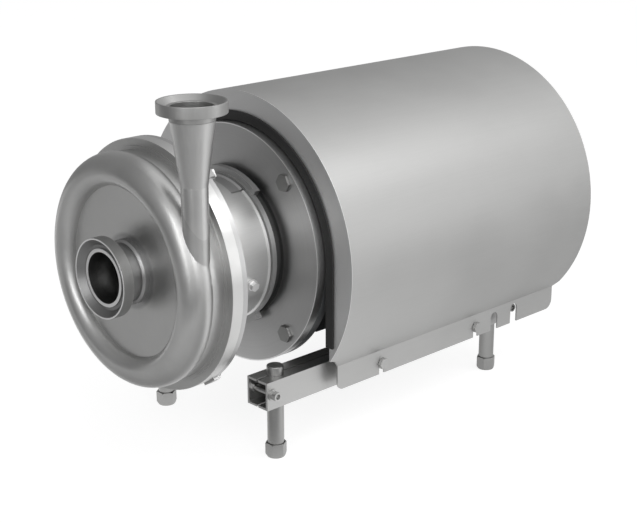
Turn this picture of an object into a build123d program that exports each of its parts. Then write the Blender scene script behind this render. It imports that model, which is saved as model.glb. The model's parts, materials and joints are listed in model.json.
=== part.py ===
# Sanitary centrifugal pump with a close coupled foot and flange motor under a sheet shroud.
# Millimetres. X runs along the shaft, the inlet looks to -X, the outlet stands on the -Y side.
# The pieces are drawn about the pump datum, where the shaft axis meets the motor's flange face.
# The last step moves them to the part's own frame: on the floor, under the middle of the length.
# Seen from the inlet, the -Y side is the right one.
from build123d import *
from math import cos, radians, sin, sqrt
import os

# Clearances
TOUCH = 0.02          # pieces of one body that are pushed together
RUN = 0.3             # pieces of different bodies
SLIP = 0.05           # a round slide in its bore
HOLE_ROOM = 1.0       # round a bolt in its hole, or beyond its end
MERGE = 1.0           # how far two shapes of one piece reach into each other

# Hex screws and nuts, as shares of the thread's size
HEX_FLATS = 1.6
HEX_HEAD = 0.65
HEX_NUT = 0.8

# Motor, standard frame size 132 with feet and flange
MOTOR_HEIGHT = 132.0
FLANGE_R = 150.0
FLANGE_BOLT_R = 132.5
FLANGE_BOLT_D = 12.0
FLANGE_BOLT_HEAD = 4.0
SPIGOT_R = 115.0
SPIGOT_LENGTH = 4.0
MOTOR_FLANGE_T = 13.0
SHIELD_LENGTH = 46.0
SHIELD_ROOT_R = 119.0
SHIELD_WALL = 8.0
MOTOR_SHAFT_R = 19.0
MOTOR_SHAFT_REACH = 80.0
SHAFT_HOLE_R = 22.5
FOOT_FIRST = 89.0
FOOT_SPREAD = 108.0
FOOT_BOLT_D = 10.0
FOOT_PAD = 44.0
FOOT_PAD_T = 14.0
FOOT_WEB_ANGLE = 46.0
FOOT_RAIL_T = 12.4
FOOT_RAIL_STAND = 22.5
FRAME_R = 106.0
FRAME_WALL = 8.0
FRAME_BORE_R = FRAME_R - FRAME_WALL
FRAME_LENGTH = 262.0
FOOT_MARGIN = 84.0
FOOT_PITCH = FRAME_LENGTH - FOOT_MARGIN
FIN_HEIGHT = 16.0
FIN_TIP_R = FRAME_R + FIN_HEIGHT
FIN_T = 3.0
FIN_COUNT = 36
REAR_SHIELD_T = 22.0
REAR_SHIELD_RIM = 4.0
REAR_SHIELD_R = FRAME_R + REAR_SHIELD_RIM
REAR_SHIELD_EDGE = 4.0
SHIELD_SCREW_R = FRAME_R - FRAME_WALL / 2
SHIELD_SCREW_REACH = 10.0
SHIELD_STEP = 2.0
HUB_TAPER = 4.0
BEARING_BORE_R = 20.0
BEARING_R = 40.0
BEARING_WIDTH = 18.0
BEARING_START = 22.0
BEARING_RELIEF = 3.0
REAR_BEARING_SET = 5.0
SHAFT_GAP = 3.0
SHAFT_STEP_SETBACK = 1.0
SHAFT_END_REACH = 2.0
RACE_T = 6.0
BALL_R = 5.6
BALL_COUNT = 8
CORE_START = 84.0
CORE_LENGTH = 150.0
ROTOR_R = 64.5
ROTOR_BORE_R = 25.0
AIR_GAP = 0.5
WINDING_REACH = 26.0
WINDING_T = 22.0
FAN_R = 88.0
FAN_LENGTH = 30.0
FAN_GAP = 4.0
FAN_BLADES = 8
FAN_BLADE_T = 3.0
FAN_SEAT_R = 15.0
FAN_HUB_R = 24.0
COVER_GAP = 5.0
COVER_R = FIN_TIP_R + COVER_GAP
COVER_LENGTH = 106.0
COVER_LAP = 18.0
COVER_EAR_HALF_ANGLE = 4.0
COVER_T = 1.5
COVER_CORNER = 20.0
GRILLE_SLOTS = 24
GRILLE_SLOT_W = 6.0
GRILLE_BANDS = ((22.0, 44.0), (52.0, 92.0))
MOTOR_SCREW_D = 6.0
BOX_START = 108.0
BOX_LENGTH = 96.0
BOX_WIDTH = 104.0
BOX_STAND = 4.0
BOX_BASE = FIN_TIP_R + BOX_STAND
BOX_HEIGHT = 26.0
BOX_WALL = 4.0
BOX_CORNER = 8.0
BOX_LID_T = 10.0
BOX_LID_BEVEL = 2.0
BOX_SCREW_D = 5.0
GLAND_R = 12.0
GLAND_BORE_R = 7.0
GLAND_FLATS = 22.8
GLAND_WALL = 2.0
GLAND_LENGTH = 24.0
GLAND_SPREAD = 40.0

# Adapter between motor and pump
ADAPTER_LENGTH = 126.2
ADAPTER_FLANGE_T = 12.0
ADAPTER_LIP_T = 6.6
LANTERN_R = 87.3
LANTERN_BORE_R = 76.0
LANTERN_START = 18.0
COLLAR_R = 92.5
COLLAR_REAR = 23.7
COLLAR_LENGTH = 6.3
NECK_R = 86.0
RIB_R = 99.5
RIB_HALF_ANGLE = 37.0
RIB_LENGTH = 8.0
RIB_SETBACK = 2.0
LUG_R = 153.5
LUG_HALF_ANGLE = 4.0
LUG_T = 4.5
LUG_SETBACK = 1.0
LUG_SEAT_R = 130.2
LUG_ANGLES = (56.0, 124.0, -56.0, -124.0)
WINDOW_MARGIN = 12.0
WINDOWS = ((-2.0, 50.0), (-52.0, -27.0))

# Guards over the windows
GUARD_T = 1.5
GUARD_LENGTH = 74.0
GUARD_HALF_ANGLE = 61.0
GUARD_END_GAP = 1.5
GUARD_TAB_WIDTH = 20.0
GUARD_TAB_END = 88.5
BEAD_HEIGHT = 2.0
BEAD_LENGTH = 4.5
GUARD_SCREW_ANGLES = (-14.0, 83.0)
GUARD_SCREW_STATION = 59.0
GUARD_SCREW_D = 6.0
GUARD_SCREW_FLATS = 10.2
GUARD_SCREW_HEAD = 4.8
GUARD_BOSS_R = 7.0
GUARD_BOSS_T = 3.5

# Casing
RIM_R = 150.7
RIM_T = 15.0
RIDGE_HEIGHT = 4.4
RIDGE_T = 1.5
WALL = 3.0
VOLUTE_R = 117.5
VOLUTE_SETBACK = 41.3
VOLUTE_SECTION_R = 22.2
VOLUTE_END_ANGLE = 65.0
CREASE_R = 101.5
DISH_DEPTH = 4.2
DISH_FLAT_R = 45.0
HUB_R = 38.5
HUB_STEP = 8.5
HUB_ROUND = 2.5
PORT_NECK_R = 33.5
INLET_NECK_BORE_R = 31.0
MOUTH_R = 130.0
MOUTH_FLARE = 8.0
LIP_R = 134.0
LIP_T = 5.0
CASING_SCREW_R = 142.2
CASING_SCREW_D = 10.0
CASING_SCREW_DEPTH = 12.0

# Inlet union
INLET_REACH = 212.1
INLET_BORE_R = 30.1
INLET_COLLAR_R = 47.5
INLET_COLLAR_T = 14.4
UNION_RIM = 1.8
UNION_LINER_T = 4.5
UNION_LINER_SET = 5.6
UNION_RECESS = 8.0
UNION_RECESS_WALL = 9.0
UNION_STUB = 4.0

# Outlet
OUTLET_OFFSET = 119.6
OUTLET_SETBACK = 2.2
OUTLET_TUBE_R = 15.0
OUTLET_TUBE_T = 1.5
OUTLET_TUBE_TOP = 123.2
OUTLET_CONE_TOP = 194.9
OUTLET_CONE_R = 24.9
OUTLET_NECK_R = 25.0
OUTLET_BORE_R = 23.5
OUTLET_TOP = 216.0
OUTLET_COLLAR_R = 38.4
OUTLET_COLLAR_T = 13.2

# Back plate and shaft seal
SPIGOT_DEPTH = 6.0
O_RING_R = 1.75
O_RING_GROOVE_W = 4.3
PLATE_T = 5.2
SEAL_NOSE_R = 22.0
SEAL_NOSE_T = 4.2
SEAL_SEAT_R = 27.0
SEAL_HOUSING_R = 42.0
SEAL_HOUSING_LENGTH = 14.0
SEAL_SHAFT_R = 17.5
STATIONARY_RING_LENGTH = 10.0
ROTATING_RING_LENGTH = 8.0
ROTATING_RING_R = 25.0
SEAL_NOSE_STEP = 2.0
SPRING_LENGTH = 10.0
SPRING_R = 21.3
SPRING_WIRE_R = 1.2
SPRING_TURNS = 3
DRIVE_RING_LENGTH = 9.0
DRIVE_RING_R = 26.0

# Pump shaft and coupling
IMPELLER_SEAT_R = 12.5
NUT_THREAD_R = 8.0
NUT_THREAD_LENGTH = 13.0
SHOULDER = 92.0
SOCKET_R = 29.0
SOCKET_FLOOR = 83.0
SOCKET_MOUTH = 26.0
SOCKET_SLITS = 3
SOCKET_SLIT_W = 3.0
COUPLING_R = 44.0
COUPLING_T = 13.0
COUPLING_GAP = 5.0
COUPLING_START = 78.0
COUPLING_SCREWS = 6
COUPLING_SCREW_R = 36.5
COUPLING_SCREW_D = 6.0

# Impeller
IMPELLER_R = 108.0
IMPELLER_DISC_T = 4.2
IMPELLER_GAP = 1.5
IMPELLER_HUB_R = 24.0
IMPELLER_HUB_LENGTH = 21.3
VANE_COUNT = 6
VANE_T = 4.0
VANE_ROOT_R = 30.0
VANE_SWEEP = 110.0
NUT_R = 21.0
NUT_LENGTH = 18.0
KEY_WIDTH = 6.0
KEY_LENGTH = 14.0

# Leg bars, legs and feet
BAR_WIDTH = 35.7
BAR_HEIGHT = 35.4
BAR_T = 3.0
BAR_GAP = 2.5
BAR_END = 28.5
LEG_FRONT = -43.0
LEG_REAR = 354.6
LEG_R = 10.25
LEG_STAND = 10.8
LEG_CAP_T = 5.0
LEG_DROP = 72.0
FOOT_HEIGHT = 18.0
FOOT_FLATS = 23.0
FOOT_TAPER = 4.0
FOOT_INSET = 2.4
FOOT_BEVEL = 1.0
FOOT_STUD_R = 8.0
FOOT_STUD_LENGTH = 60.0
CLAMP_OFFSET = 20.4
CLAMP_RISE = 1.5
CLAMP_D = 6.0
CLAMP_HEAD_R = 5.5
CLAMP_HEAD_T = 8.0
CLAMP_SOCKET_R = 3.0
CLAMP_WASHER_R = 7.0
CLAMP_WASHER_T = 2.0
LEG_ROUND = 1.5

# Shroud
SHROUD_R = 192.2
SHROUD_HEADROOM = 25.9
SHROUD_SINK = SHROUD_R - BOX_BASE - BOX_HEIGHT - BOX_LID_T - SHROUD_HEADROOM
SHROUD_T = 2.0
SHROUD_FRONT = 1.5
SHROUD_REAR = 463.6
SKIRT_Y = 141.9
SKIRT_BOTTOM = 165.7
SKIRT_DEPTH = 31.8
SKIRT_FRONT = 28.5
SKIRT_REAR = 455.0
FRONT_CUT = 116.2
REAR_CUT = 127.0
FRONT_CORNER_R = 9.0
REAR_CORNER_R = 13.0
OPENING_R = 155.0
EDGING_LIP = 4.4
EDGING_COVER = 8.0
EDGING_T = 2.5
EDGING_END = 98.5
HANG_STATIONS = (106.0, 288.0)
HANG_DROP = 151.5
HANG_BOLT_D = 8.0
HANG_SLOT_W = 9.0
SPACER_R = 8.0
WIDE_SLOT_W = 14.0
WIDE_SLOTS = ((327.0, 140.8), (369.0, 138.9))

# Stations along the shaft, from the motor's flange face
SEAT = -ADAPTER_LENGTH
RIM_FRONT = SEAT - RIM_T
VOLUTE_X = SEAT - VOLUTE_SETBACK
CREST_X = VOLUTE_X - VOLUTE_SECTION_R
CREASE_SECTION_R = VOLUTE_R - CREASE_R
CREASE_X = CREST_X + CREASE_SECTION_R
DISH_X = CREASE_X + DISH_DEPTH
HUB_X = DISH_X - HUB_STEP
INLET_X = -INLET_REACH
INLET_STUB_X = INLET_X + INLET_COLLAR_T + UNION_STUB
PLATE_X = SEAT - LIP_T - SPIGOT_DEPTH
IMPELLER_X = PLATE_X - IMPELLER_GAP
HUB_END_X = IMPELLER_X - IMPELLER_HUB_LENGTH
SEAL_X = PLATE_X + SEAL_NOSE_T
SEAL_FACE_X = SEAL_X + STATIONARY_RING_LENGTH
SPRING_X = SEAL_FACE_X + SLIP + ROTATING_RING_LENGTH
DRIVE_X = SPRING_X + SPRING_LENGTH
COLLAR_X = -COLLAR_REAR - COLLAR_LENGTH
RIB_X = COLLAR_X + RIB_SETBACK
FRAME_END = SHIELD_LENGTH + FRAME_LENGTH
REAR_BEARING_X = FRAME_END - REAR_BEARING_SET
FAN_X = FRAME_END + REAR_SHIELD_T + FAN_GAP
COVER_END = FRAME_END + COVER_LENGTH

# Heights from the shaft axis
BAR_TOP = -MOTOR_HEIGHT
BAR_BOTTOM = BAR_TOP - BAR_HEIGHT
CLAMP_LEVEL = BAR_TOP - BAR_HEIGHT / 2 + CLAMP_RISE
FLOOR = BAR_BOTTOM - LEG_DROP
FOOT_TOP = FLOOR + FOOT_HEIGHT
LEG_TOP = BAR_TOP + LEG_STAND
BAR_OUTER = FOOT_SPREAD + BAR_WIDTH / 2
BAR_INNER = FOOT_SPREAD - BAR_WIDTH / 2
LEG_STATIONS = {"front": LEG_FRONT, "rear": LEG_REAR}
SIDES = {"right": -1, "left": 1}

# From the pump datum to the part's own frame
TO_FRAME = Pos((INLET_REACH - SHROUD_REAR) / 2, 0, -FLOOR)

STAND_UP = Rot(0, -90, 0)


# Drawing helpers
def arc(x, r, size, start, end):
    """Arc in the shaft's X and radius plane, angles from +X towards the outside."""
    spots = [(x + size * cos(radians(a)), 0, r + size * sin(radians(a)))
             for a in (start, (start + end) / 2, end)]
    return ThreePointArc(*spots)


def profile(*steps):
    """Closed face from points (x, r) and arcs, joined by straight lines."""
    edges, first, last = [], None, None
    for step in steps:
        is_point = isinstance(step, tuple)
        start = Vector(step[0], 0, step[1]) if is_point else step @ 0
        end = start if is_point else step @ 1
        if last is not None and (start - last).length > 1e-6:
            edges.append(Line(last, start))
        if not is_point:
            edges.append(step)
        first = start if first is None else first
        last = end
    if (last - first).length > 1e-6:
        edges.append(Line(last, first))
    return make_face(edges)


def turned(*steps):
    """Solid turned about the shaft axis from a closed profile."""
    return revolve(profile(*steps), Axis.X)


def sector(low, high, *steps):
    """Part of a turned solid. Angles rise from the -Y side to the top."""
    return Rot(90 - high, 0, 0) * revolve(profile(*steps), Axis.X, high - low)


def ring(inner, outer, x0, x1):
    """Plain ring between two stations."""
    return turned((x0, inner), (x0, outer), (x1, outer), (x1, inner))


def rod(radius, x0, x1):
    """Plain round bar along the shaft's direction."""
    return Pos((x0 + x1) / 2, 0, 0) * Rot(0, 90, 0) * Cylinder(radius, x1 - x0)


def polar(radius, angle):
    """Place on a circle about the shaft. The angle rises from the -Y side to the top."""
    return Pos(0, -radius * cos(radians(angle)), radius * sin(radians(angle)))


def slab(x0, x1, y0, y1, z0, z1):
    """Box between two corners."""
    return Pos((x0 + x1) / 2, (y0 + y1) / 2, (z0 + z1) / 2) * Box(x1 - x0, y1 - y0, z1 - z0)


def hexagon(flats, x0, x1):
    """Hexagonal prism along the shaft's direction."""
    outline = Plane.YZ * RegularPolygon(flats / 2, 6, major_radius=False)
    return Pos(x0, 0, 0) * extrude(outline, x1 - x0)


def hex_screw(size, length, head=0.0):
    """Hex head screw along +X from under its head, which lies at negative X."""
    head = head or HEX_HEAD * size
    return hexagon(HEX_FLATS * size, -head, 0) + rod(size / 2, -head / 2, length)


def group(pieces):
    """Several separate solids in one node."""
    return Compound([solid for piece in pieces for solid in piece.solids()])


def both_sides(piece):
    """A piece and its mirror image on the other side of the shaft."""
    return [piece, mirror(piece, Plane.XZ)]


# Casing and ports
def casing_outside():
    """Outer skin of the turned casing: rim with its ridge, volute, dish, hub and inlet neck."""
    neck_r = VOLUTE_R + VOLUTE_SECTION_R * sin(radians(VOLUTE_END_ANGLE))
    return turned(
        (SEAT, 0), (SEAT, RIM_R), (RIM_FRONT, RIM_R), (RIM_FRONT, neck_r + RIDGE_HEIGHT),
        (RIM_FRONT - RIDGE_T, neck_r + RIDGE_HEIGHT), (RIM_FRONT - RIDGE_T, neck_r),
        arc(VOLUTE_X, VOLUTE_R, VOLUTE_SECTION_R, VOLUTE_END_ANGLE, 180),
        arc(CREASE_X, VOLUTE_R, CREASE_SECTION_R, 180, 270),
        (DISH_X, DISH_FLAT_R), (DISH_X, HUB_R),
        (HUB_X + HUB_ROUND, HUB_R), (HUB_X, HUB_R - HUB_ROUND), (HUB_X, PORT_NECK_R),
        (INLET_STUB_X, PORT_NECK_R), (INLET_STUB_X, 0))


def casing_hollow():
    """Space inside the casing: seat of the back plate, volute, dish and inlet bore."""
    section = VOLUTE_SECTION_R - WALL
    outer = VOLUTE_R + section * sin(radians(VOLUTE_END_ANGLE))
    mouth_end = PLATE_X - MOUTH_FLARE
    return turned(
        (SEAT, 0), (SEAT, LIP_R + TOUCH), (SEAT - LIP_T, LIP_R + TOUCH), (SEAT - LIP_T, MOUTH_R),
        (mouth_end, MOUTH_R), (mouth_end - MOUTH_FLARE, outer),
        arc(VOLUTE_X, VOLUTE_R, section, VOLUTE_END_ANGLE, 180),
        arc(CREASE_X, VOLUTE_R, CREASE_SECTION_R - WALL, 180, 270),
        (CREASE_X + WALL, CREASE_R), (DISH_X + WALL, DISH_FLAT_R), (DISH_X + WALL, INLET_NECK_BORE_R),
        (INLET_STUB_X, INLET_NECK_BORE_R), (INLET_STUB_X, 0))


def upright(piece):
    """Turned piece stood on end on the outlet's axis."""
    return Pos(VOLUTE_X + OUTLET_SETBACK, -OUTLET_OFFSET, 0) * STAND_UP * piece


def pump_casing():
    """Casing with its tangential outlet tube, hollow all through."""
    casing = casing_outside() + upright(rod(OUTLET_TUBE_R, 0, OUTLET_TUBE_TOP))
    casing -= casing_hollow()
    casing -= upright(rod(OUTLET_TUBE_R - OUTLET_TUBE_T, 0, OUTLET_TUBE_TOP))
    hole = rod(CASING_SCREW_D / 2 + TOUCH, SEAT - CASING_SCREW_DEPTH, SEAT)
    return casing - [polar(CASING_SCREW_R, angle) * hole for angle in LUG_ANGLES]


def union(face, collar_r, collar_t, bore_r, neck_r, stub):
    """Welded union end that looks to -X: collar, recess for the gasket, raised liner, stub."""
    back = face + collar_t
    floor = face + UNION_RECESS
    liner_r = bore_r + UNION_LINER_T
    return turned(
        (face, collar_r - UNION_RIM), (face, collar_r), (back, collar_r), (back, neck_r),
        (back + stub, neck_r), (back + stub, bore_r), (face + UNION_LINER_SET, bore_r),
        (face + UNION_LINER_SET, liner_r), (floor, liner_r), (floor, collar_r - UNION_RECESS_WALL))


def inlet_union():
    return union(INLET_X, INLET_COLLAR_R, INLET_COLLAR_T, INLET_BORE_R, PORT_NECK_R, UNION_STUB)


def outlet_cone():
    """Conical widening on top of the outlet tube."""
    return upright(turned(
        (OUTLET_TUBE_TOP, OUTLET_TUBE_R - OUTLET_TUBE_T), (OUTLET_TUBE_TOP, OUTLET_TUBE_R),
        (OUTLET_CONE_TOP, OUTLET_CONE_R), (OUTLET_CONE_TOP, OUTLET_BORE_R)))


def outlet_union():
    """The same union as the inlet's, smaller and looking up."""
    stub = OUTLET_TOP - OUTLET_COLLAR_T - OUTLET_CONE_TOP
    piece = union(-OUTLET_TOP, OUTLET_COLLAR_R, OUTLET_COLLAR_T, OUTLET_BORE_R, OUTLET_NECK_R, stub)
    return upright(Rot(0, 180, 0) * piece)


# Back plate and shaft seal
def back_plate():
    """Plate between casing and adapter, with the O ring groove and the seal's seat."""
    spigot = MOUTH_R - RUN
    groove = PLATE_X + (SPIGOT_DEPTH - O_RING_GROOVE_W) / 2
    groove_r = MOUTH_R - 2 * O_RING_R - SLIP
    web_end = PLATE_X + PLATE_T
    housing_end = web_end + SEAL_HOUSING_LENGTH
    return turned(
        (PLATE_X, SEAL_NOSE_R), (PLATE_X, spigot), (groove, spigot), (groove, groove_r),
        (groove + O_RING_GROOVE_W, groove_r), (groove + O_RING_GROOVE_W, spigot),
        (SEAT - LIP_T, spigot), (SEAT - LIP_T, LIP_R), (SEAT, LIP_R), (SEAT, LIP_R - 2 * PLATE_T),
        (web_end, LIP_R - 3 * PLATE_T), (web_end, SEAL_HOUSING_R), (housing_end, SEAL_HOUSING_R - PLATE_T),
        (housing_end, SEAL_SEAT_R), (SEAL_X, SEAL_SEAT_R), (SEAL_X, SEAL_NOSE_R))


def casing_o_ring():
    """Round cord ring in the groove of the back plate's spigot."""
    centre = PLATE_X + SPIGOT_DEPTH / 2
    middle = MOUTH_R - O_RING_R - SLIP / 2
    section = Pos(centre, 0, middle) * Rot(90, 0, 0) * Circle(O_RING_R - SLIP)
    return revolve(section, Axis.X)


def stationary_seal_ring():
    """Hard ring held in the back plate's seat."""
    return ring(SEAL_SHAFT_R + 3 * RUN, SEAL_SEAT_R - TOUCH, SEAL_X + TOUCH, SEAL_FACE_X)


def rotating_seal_ring():
    """Carbon ring that runs on the stationary one."""
    face = SEAL_FACE_X + SLIP
    nose = face + ROTATING_RING_LENGTH / 3
    inner = SEAL_SHAFT_R + SLIP
    return turned(
        (face, inner), (face, ROTATING_RING_R - SEAL_NOSE_STEP), (nose, ROTATING_RING_R - SEAL_NOSE_STEP),
        (nose, ROTATING_RING_R), (SPRING_X, ROTATING_RING_R), (SPRING_X, inner))


def seal_spring():
    """Coil that presses the rotating ring forward."""
    height = SPRING_LENGTH - 2 * SPRING_WIRE_R - 2 * TOUCH
    path = Helix(height / SPRING_TURNS, height, SPRING_R)
    wire = sweep(Plane(path @ 0, z_dir=path % 0) * Circle(SPRING_WIRE_R), path)
    return Pos(SPRING_X + SPRING_WIRE_R + TOUCH, 0, 0) * Rot(0, 90, 0) * wire


def seal_drive_ring():
    """Ring clamped on the shaft behind the spring."""
    return ring(SEAL_SHAFT_R + TOUCH, DRIVE_RING_R, DRIVE_X, DRIVE_X + DRIVE_RING_LENGTH)


# Shaft, coupling and impeller
def pump_shaft():
    """Stub shaft: nut thread, impeller seat, seal seat and slit socket for the motor's shaft."""
    thread_end = HUB_END_X - NUT_THREAD_LENGTH
    shaft = turned(
        (thread_end, 0), (thread_end, NUT_THREAD_R), (HUB_END_X, NUT_THREAD_R),
        (HUB_END_X, IMPELLER_SEAT_R), (IMPELLER_X, IMPELLER_SEAT_R), (IMPELLER_X, SEAL_SHAFT_R),
        (-SHOULDER, SEAL_SHAFT_R), (-SHOULDER, SOCKET_R), (-SOCKET_MOUTH, SOCKET_R),
        (-SOCKET_MOUTH, MOTOR_SHAFT_R + TOUCH), (-SOCKET_FLOOR, MOTOR_SHAFT_R + TOUCH), (-SOCKET_FLOOR, 0))
    half = SOCKET_SLIT_W / 2
    slit = slab(COUPLING_T - COUPLING_START, -SOCKET_MOUTH, -half, half, 0, SOCKET_R + half)
    shaft -= [Rot(120 * k, 0, 0) * slit for k in range(SOCKET_SLITS)]
    key_top = IMPELLER_SEAT_R + KEY_WIDTH / 2
    return shaft - key_block(TOUCH, key_top)


def key_block(grow, top):
    """Block of the impeller key, or of its seat when it is grown."""
    half = KEY_WIDTH / 2 + grow
    middle = (HUB_END_X + IMPELLER_X) / 2
    reach = KEY_LENGTH / 2 + grow
    floor = IMPELLER_SEAT_R - KEY_WIDTH / 2 - grow
    return slab(middle - reach, middle + reach, -half, half, floor, top + grow)


def impeller_key():
    return key_block(0, IMPELLER_SEAT_R + KEY_WIDTH / 2 - 2 * TOUCH)


def impeller_nut():
    """Domed nut that the flow meets first."""
    thread_end = HUB_END_X - NUT_THREAD_LENGTH - TOUCH
    nose = HUB_END_X - NUT_LENGTH
    dome = Spline((HUB_END_X - NUT_LENGTH / 3, 0, NUT_R), (nose + NUT_LENGTH / 8, 0, 0.45 * NUT_R),
                  (nose, 0, 0), tangents=((-1, 0, 0), (0, 0, -1)))
    return turned(
        (thread_end, 0), (thread_end, NUT_THREAD_R + TOUCH), (HUB_END_X - TOUCH, NUT_THREAD_R + TOUCH),
        (HUB_END_X - TOUCH, NUT_R), dome)


def vane_outline():
    """One back swept vane seen along the shaft: two curved flanks and round ends."""
    def spiral(share, shift):
        radius = VANE_ROOT_R + share * (IMPELLER_R - VANE_ROOT_R)
        angle = radians(VANE_SWEEP * share ** 0.8) + shift / radius
        return (radius * cos(angle), radius * sin(angle))
    shares = (0, 0.2, 0.45, 0.72, 1)
    front = [spiral(share, VANE_T / 2) for share in shares]
    back = [spiral(share, -VANE_T / 2) for share in shares]
    ends = [Line(front[-1], back[-1]), Line(back[0], front[0])]
    return make_face([Spline(*front), Spline(*back)] + ends)


def impeller():
    """Semi open impeller: hub, back disc and curved vanes that follow the dish."""
    disc_x = IMPELLER_X - IMPELLER_DISC_T
    body = turned(
        (IMPELLER_X, IMPELLER_SEAT_R + TOUCH), (IMPELLER_X, IMPELLER_R), (disc_x, IMPELLER_R),
        (disc_x, IMPELLER_HUB_R + 2 * IMPELLER_DISC_T), (disc_x - 2 * IMPELLER_DISC_T, IMPELLER_HUB_R),
        (HUB_END_X, IMPELLER_HUB_R), (HUB_END_X, IMPELLER_SEAT_R + TOUCH))
    vane = extrude(Plane.YZ * vane_outline(), CREST_X - disc_x)
    vane = Pos(disc_x, 0, 0) * vane
    vanes = Part() + [Rot(360 / VANE_COUNT * k, 0, 0) * vane for k in range(VANE_COUNT)]
    front = IMPELLER_GAP + WALL
    envelope = turned(
        (IMPELLER_X, IMPELLER_SEAT_R), (IMPELLER_X, IMPELLER_R), (CREASE_X + front, IMPELLER_R),
        (CREASE_X + front, CREASE_R), (DISH_X + front, DISH_FLAT_R), (DISH_X + front, IMPELLER_SEAT_R))
    body += vanes & envelope
    return body - key_block(TOUCH, IMPELLER_SEAT_R + KEY_WIDTH / 2)


def coupling_ring_starts():
    return (-COUPLING_START, -COUPLING_START + COUPLING_T + COUPLING_GAP)


def coupling_rings():
    """Two compression rings that squeeze the slit socket."""
    hole = Pos(0, 0, COUPLING_SCREW_R) * rod(COUPLING_SCREW_D / 2 + TOUCH, -SHOULDER, -SOCKET_MOUTH)
    holes = [Rot(360 / COUPLING_SCREWS * k, 0, 0) * hole for k in range(COUPLING_SCREWS)]
    return group([ring(SOCKET_R + TOUCH, COUPLING_R, x, x + COUPLING_T) - holes
                  for x in coupling_ring_starts()])


def coupling_screws():
    """Screws that draw the two compression rings together."""
    start, end = coupling_ring_starts()
    screw = Pos(start - TOUCH, 0, COUPLING_SCREW_R) * hex_screw(COUPLING_SCREW_D, end + COUPLING_T - start)
    return group([Rot(360 / COUPLING_SCREWS * k, 0, 0) * screw for k in range(COUPLING_SCREWS)])


# Adapter and guards
def adapter():
    """Cast lantern: thin front rim with lugs, two windows a side, collar, ribs and motor flange."""
    lip_end = SEAT + ADAPTER_LIP_T
    lug_root = CASING_SCREW_R - 2 * CASING_SCREW_D
    shell_start = SEAT + LANTERN_START
    wall = LANTERN_R - LANTERN_BORE_R
    spigot_x, spigot_r = -SPIGOT_LENGTH - TOUCH, SPIGOT_R + TOUCH
    body = turned(
        (SEAT, LANTERN_BORE_R), (SEAT, RIM_R), (lip_end, RIM_R), (lip_end, lug_root),
        (shell_start, LANTERN_R), (COLLAR_X, LANTERN_R), (COLLAR_X, COLLAR_R), (-COLLAR_REAR, COLLAR_R),
        (-COLLAR_REAR, NECK_R), (-ADAPTER_FLANGE_T, NECK_R), (-ADAPTER_FLANGE_T, FLANGE_R), (0, FLANGE_R),
        (0, spigot_r), (spigot_x, spigot_r), (spigot_x, NECK_R - wall), (COLLAR_X, LANTERN_BORE_R))
    for middle in (90, -90):
        body += sector(middle - RIB_HALF_ANGLE, middle + RIB_HALF_ANGLE,
                       (RIB_X, NECK_R - wall / 2), (RIB_X, RIB_R),
                       (RIB_X + RIB_LENGTH, RIB_R), (RIB_X + RIB_LENGTH, NECK_R - wall / 2))
    pad_edge = GUARD_HALF_ANGLE + GUARD_END_GAP
    pad_root = LANTERN_R - wall / 2
    pad_start, pad_end = shell_start + MERGE, COLLAR_X + MERGE
    pad_r = LANTERN_R + GUARD_T
    for middle in (90, -90):
        body += sector(middle - 90 + pad_edge, middle + 90 - pad_edge,
                       (pad_start, pad_root), (pad_start, pad_r), (COLLAR_X - BEAD_LENGTH, pad_r),
                       (COLLAR_X - BEAD_LENGTH / 2, pad_r + BEAD_HEIGHT), (COLLAR_X, pad_r),
                       (pad_end, pad_r), (pad_end, pad_root))
    body -= tab_strip(pad_edge - MERGE, 180 + MERGE - pad_edge, LANTERN_R - RUN, COLLAR_R, TOUCH)
    lug_start = SEAT + LUG_SETBACK
    for angle in LUG_ANGLES:
        body += sector(angle - LUG_HALF_ANGLE, angle + LUG_HALF_ANGLE,
                       (lug_start, lug_root), (lug_start, LUG_R), (lip_end + LUG_T, LUG_R),
                       (lip_end + LUG_T, LUG_SEAT_R))
    window = ((shell_start + WINDOW_MARGIN, LANTERN_BORE_R - wall), (shell_start + WINDOW_MARGIN, COLLAR_R),
              (COLLAR_X - WINDOW_MARGIN, COLLAR_R), (COLLAR_X - WINDOW_MARGIN, LANTERN_BORE_R - wall))
    for low, high in WINDOWS:
        body -= [sector(low, high, *window), sector(180 - high, 180 - low, *window)]
    screw_hole = rod(CASING_SCREW_D / 2 + RUN, SEAT, lip_end + LUG_T)
    body -= [polar(CASING_SCREW_R, angle) * screw_hole for angle in LUG_ANGLES]
    bolt_hole = rod(FLANGE_BOLT_D / 2 + HOLE_ROOM, -ADAPTER_FLANGE_T, 0)
    body -= [polar(FLANGE_BOLT_R, 45 + 90 * k) * bolt_hole for k in range(4)]
    tapped = guard_screw_places(rod(GUARD_SCREW_D / 2 + TOUCH, LANTERN_BORE_R - wall, LANTERN_R + wall))
    return body - tapped


def tab_strip(low, high, inner, outer, grow):
    """Curved strip where the guards' tabs reach over the top of the adapter."""
    half = GUARD_TAB_WIDTH / 2 + grow
    start, end = -GUARD_SCREW_STATION - half, -GUARD_SCREW_STATION + half
    return sector(low, high, (start, inner), (start, outer), (end, outer), (end, inner))


def guard_screw_places(piece):
    """Copies of a piece drawn along +X, set to point outward at the guard's screws."""
    turns = [Rot(90 - angle, 0, 0) for angle in GUARD_SCREW_ANGLES]
    outward = Pos(-GUARD_SCREW_STATION, 0, 0) * STAND_UP * piece
    return [copy for turn in turns for copy in both_sides(turn * outward)]


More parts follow.
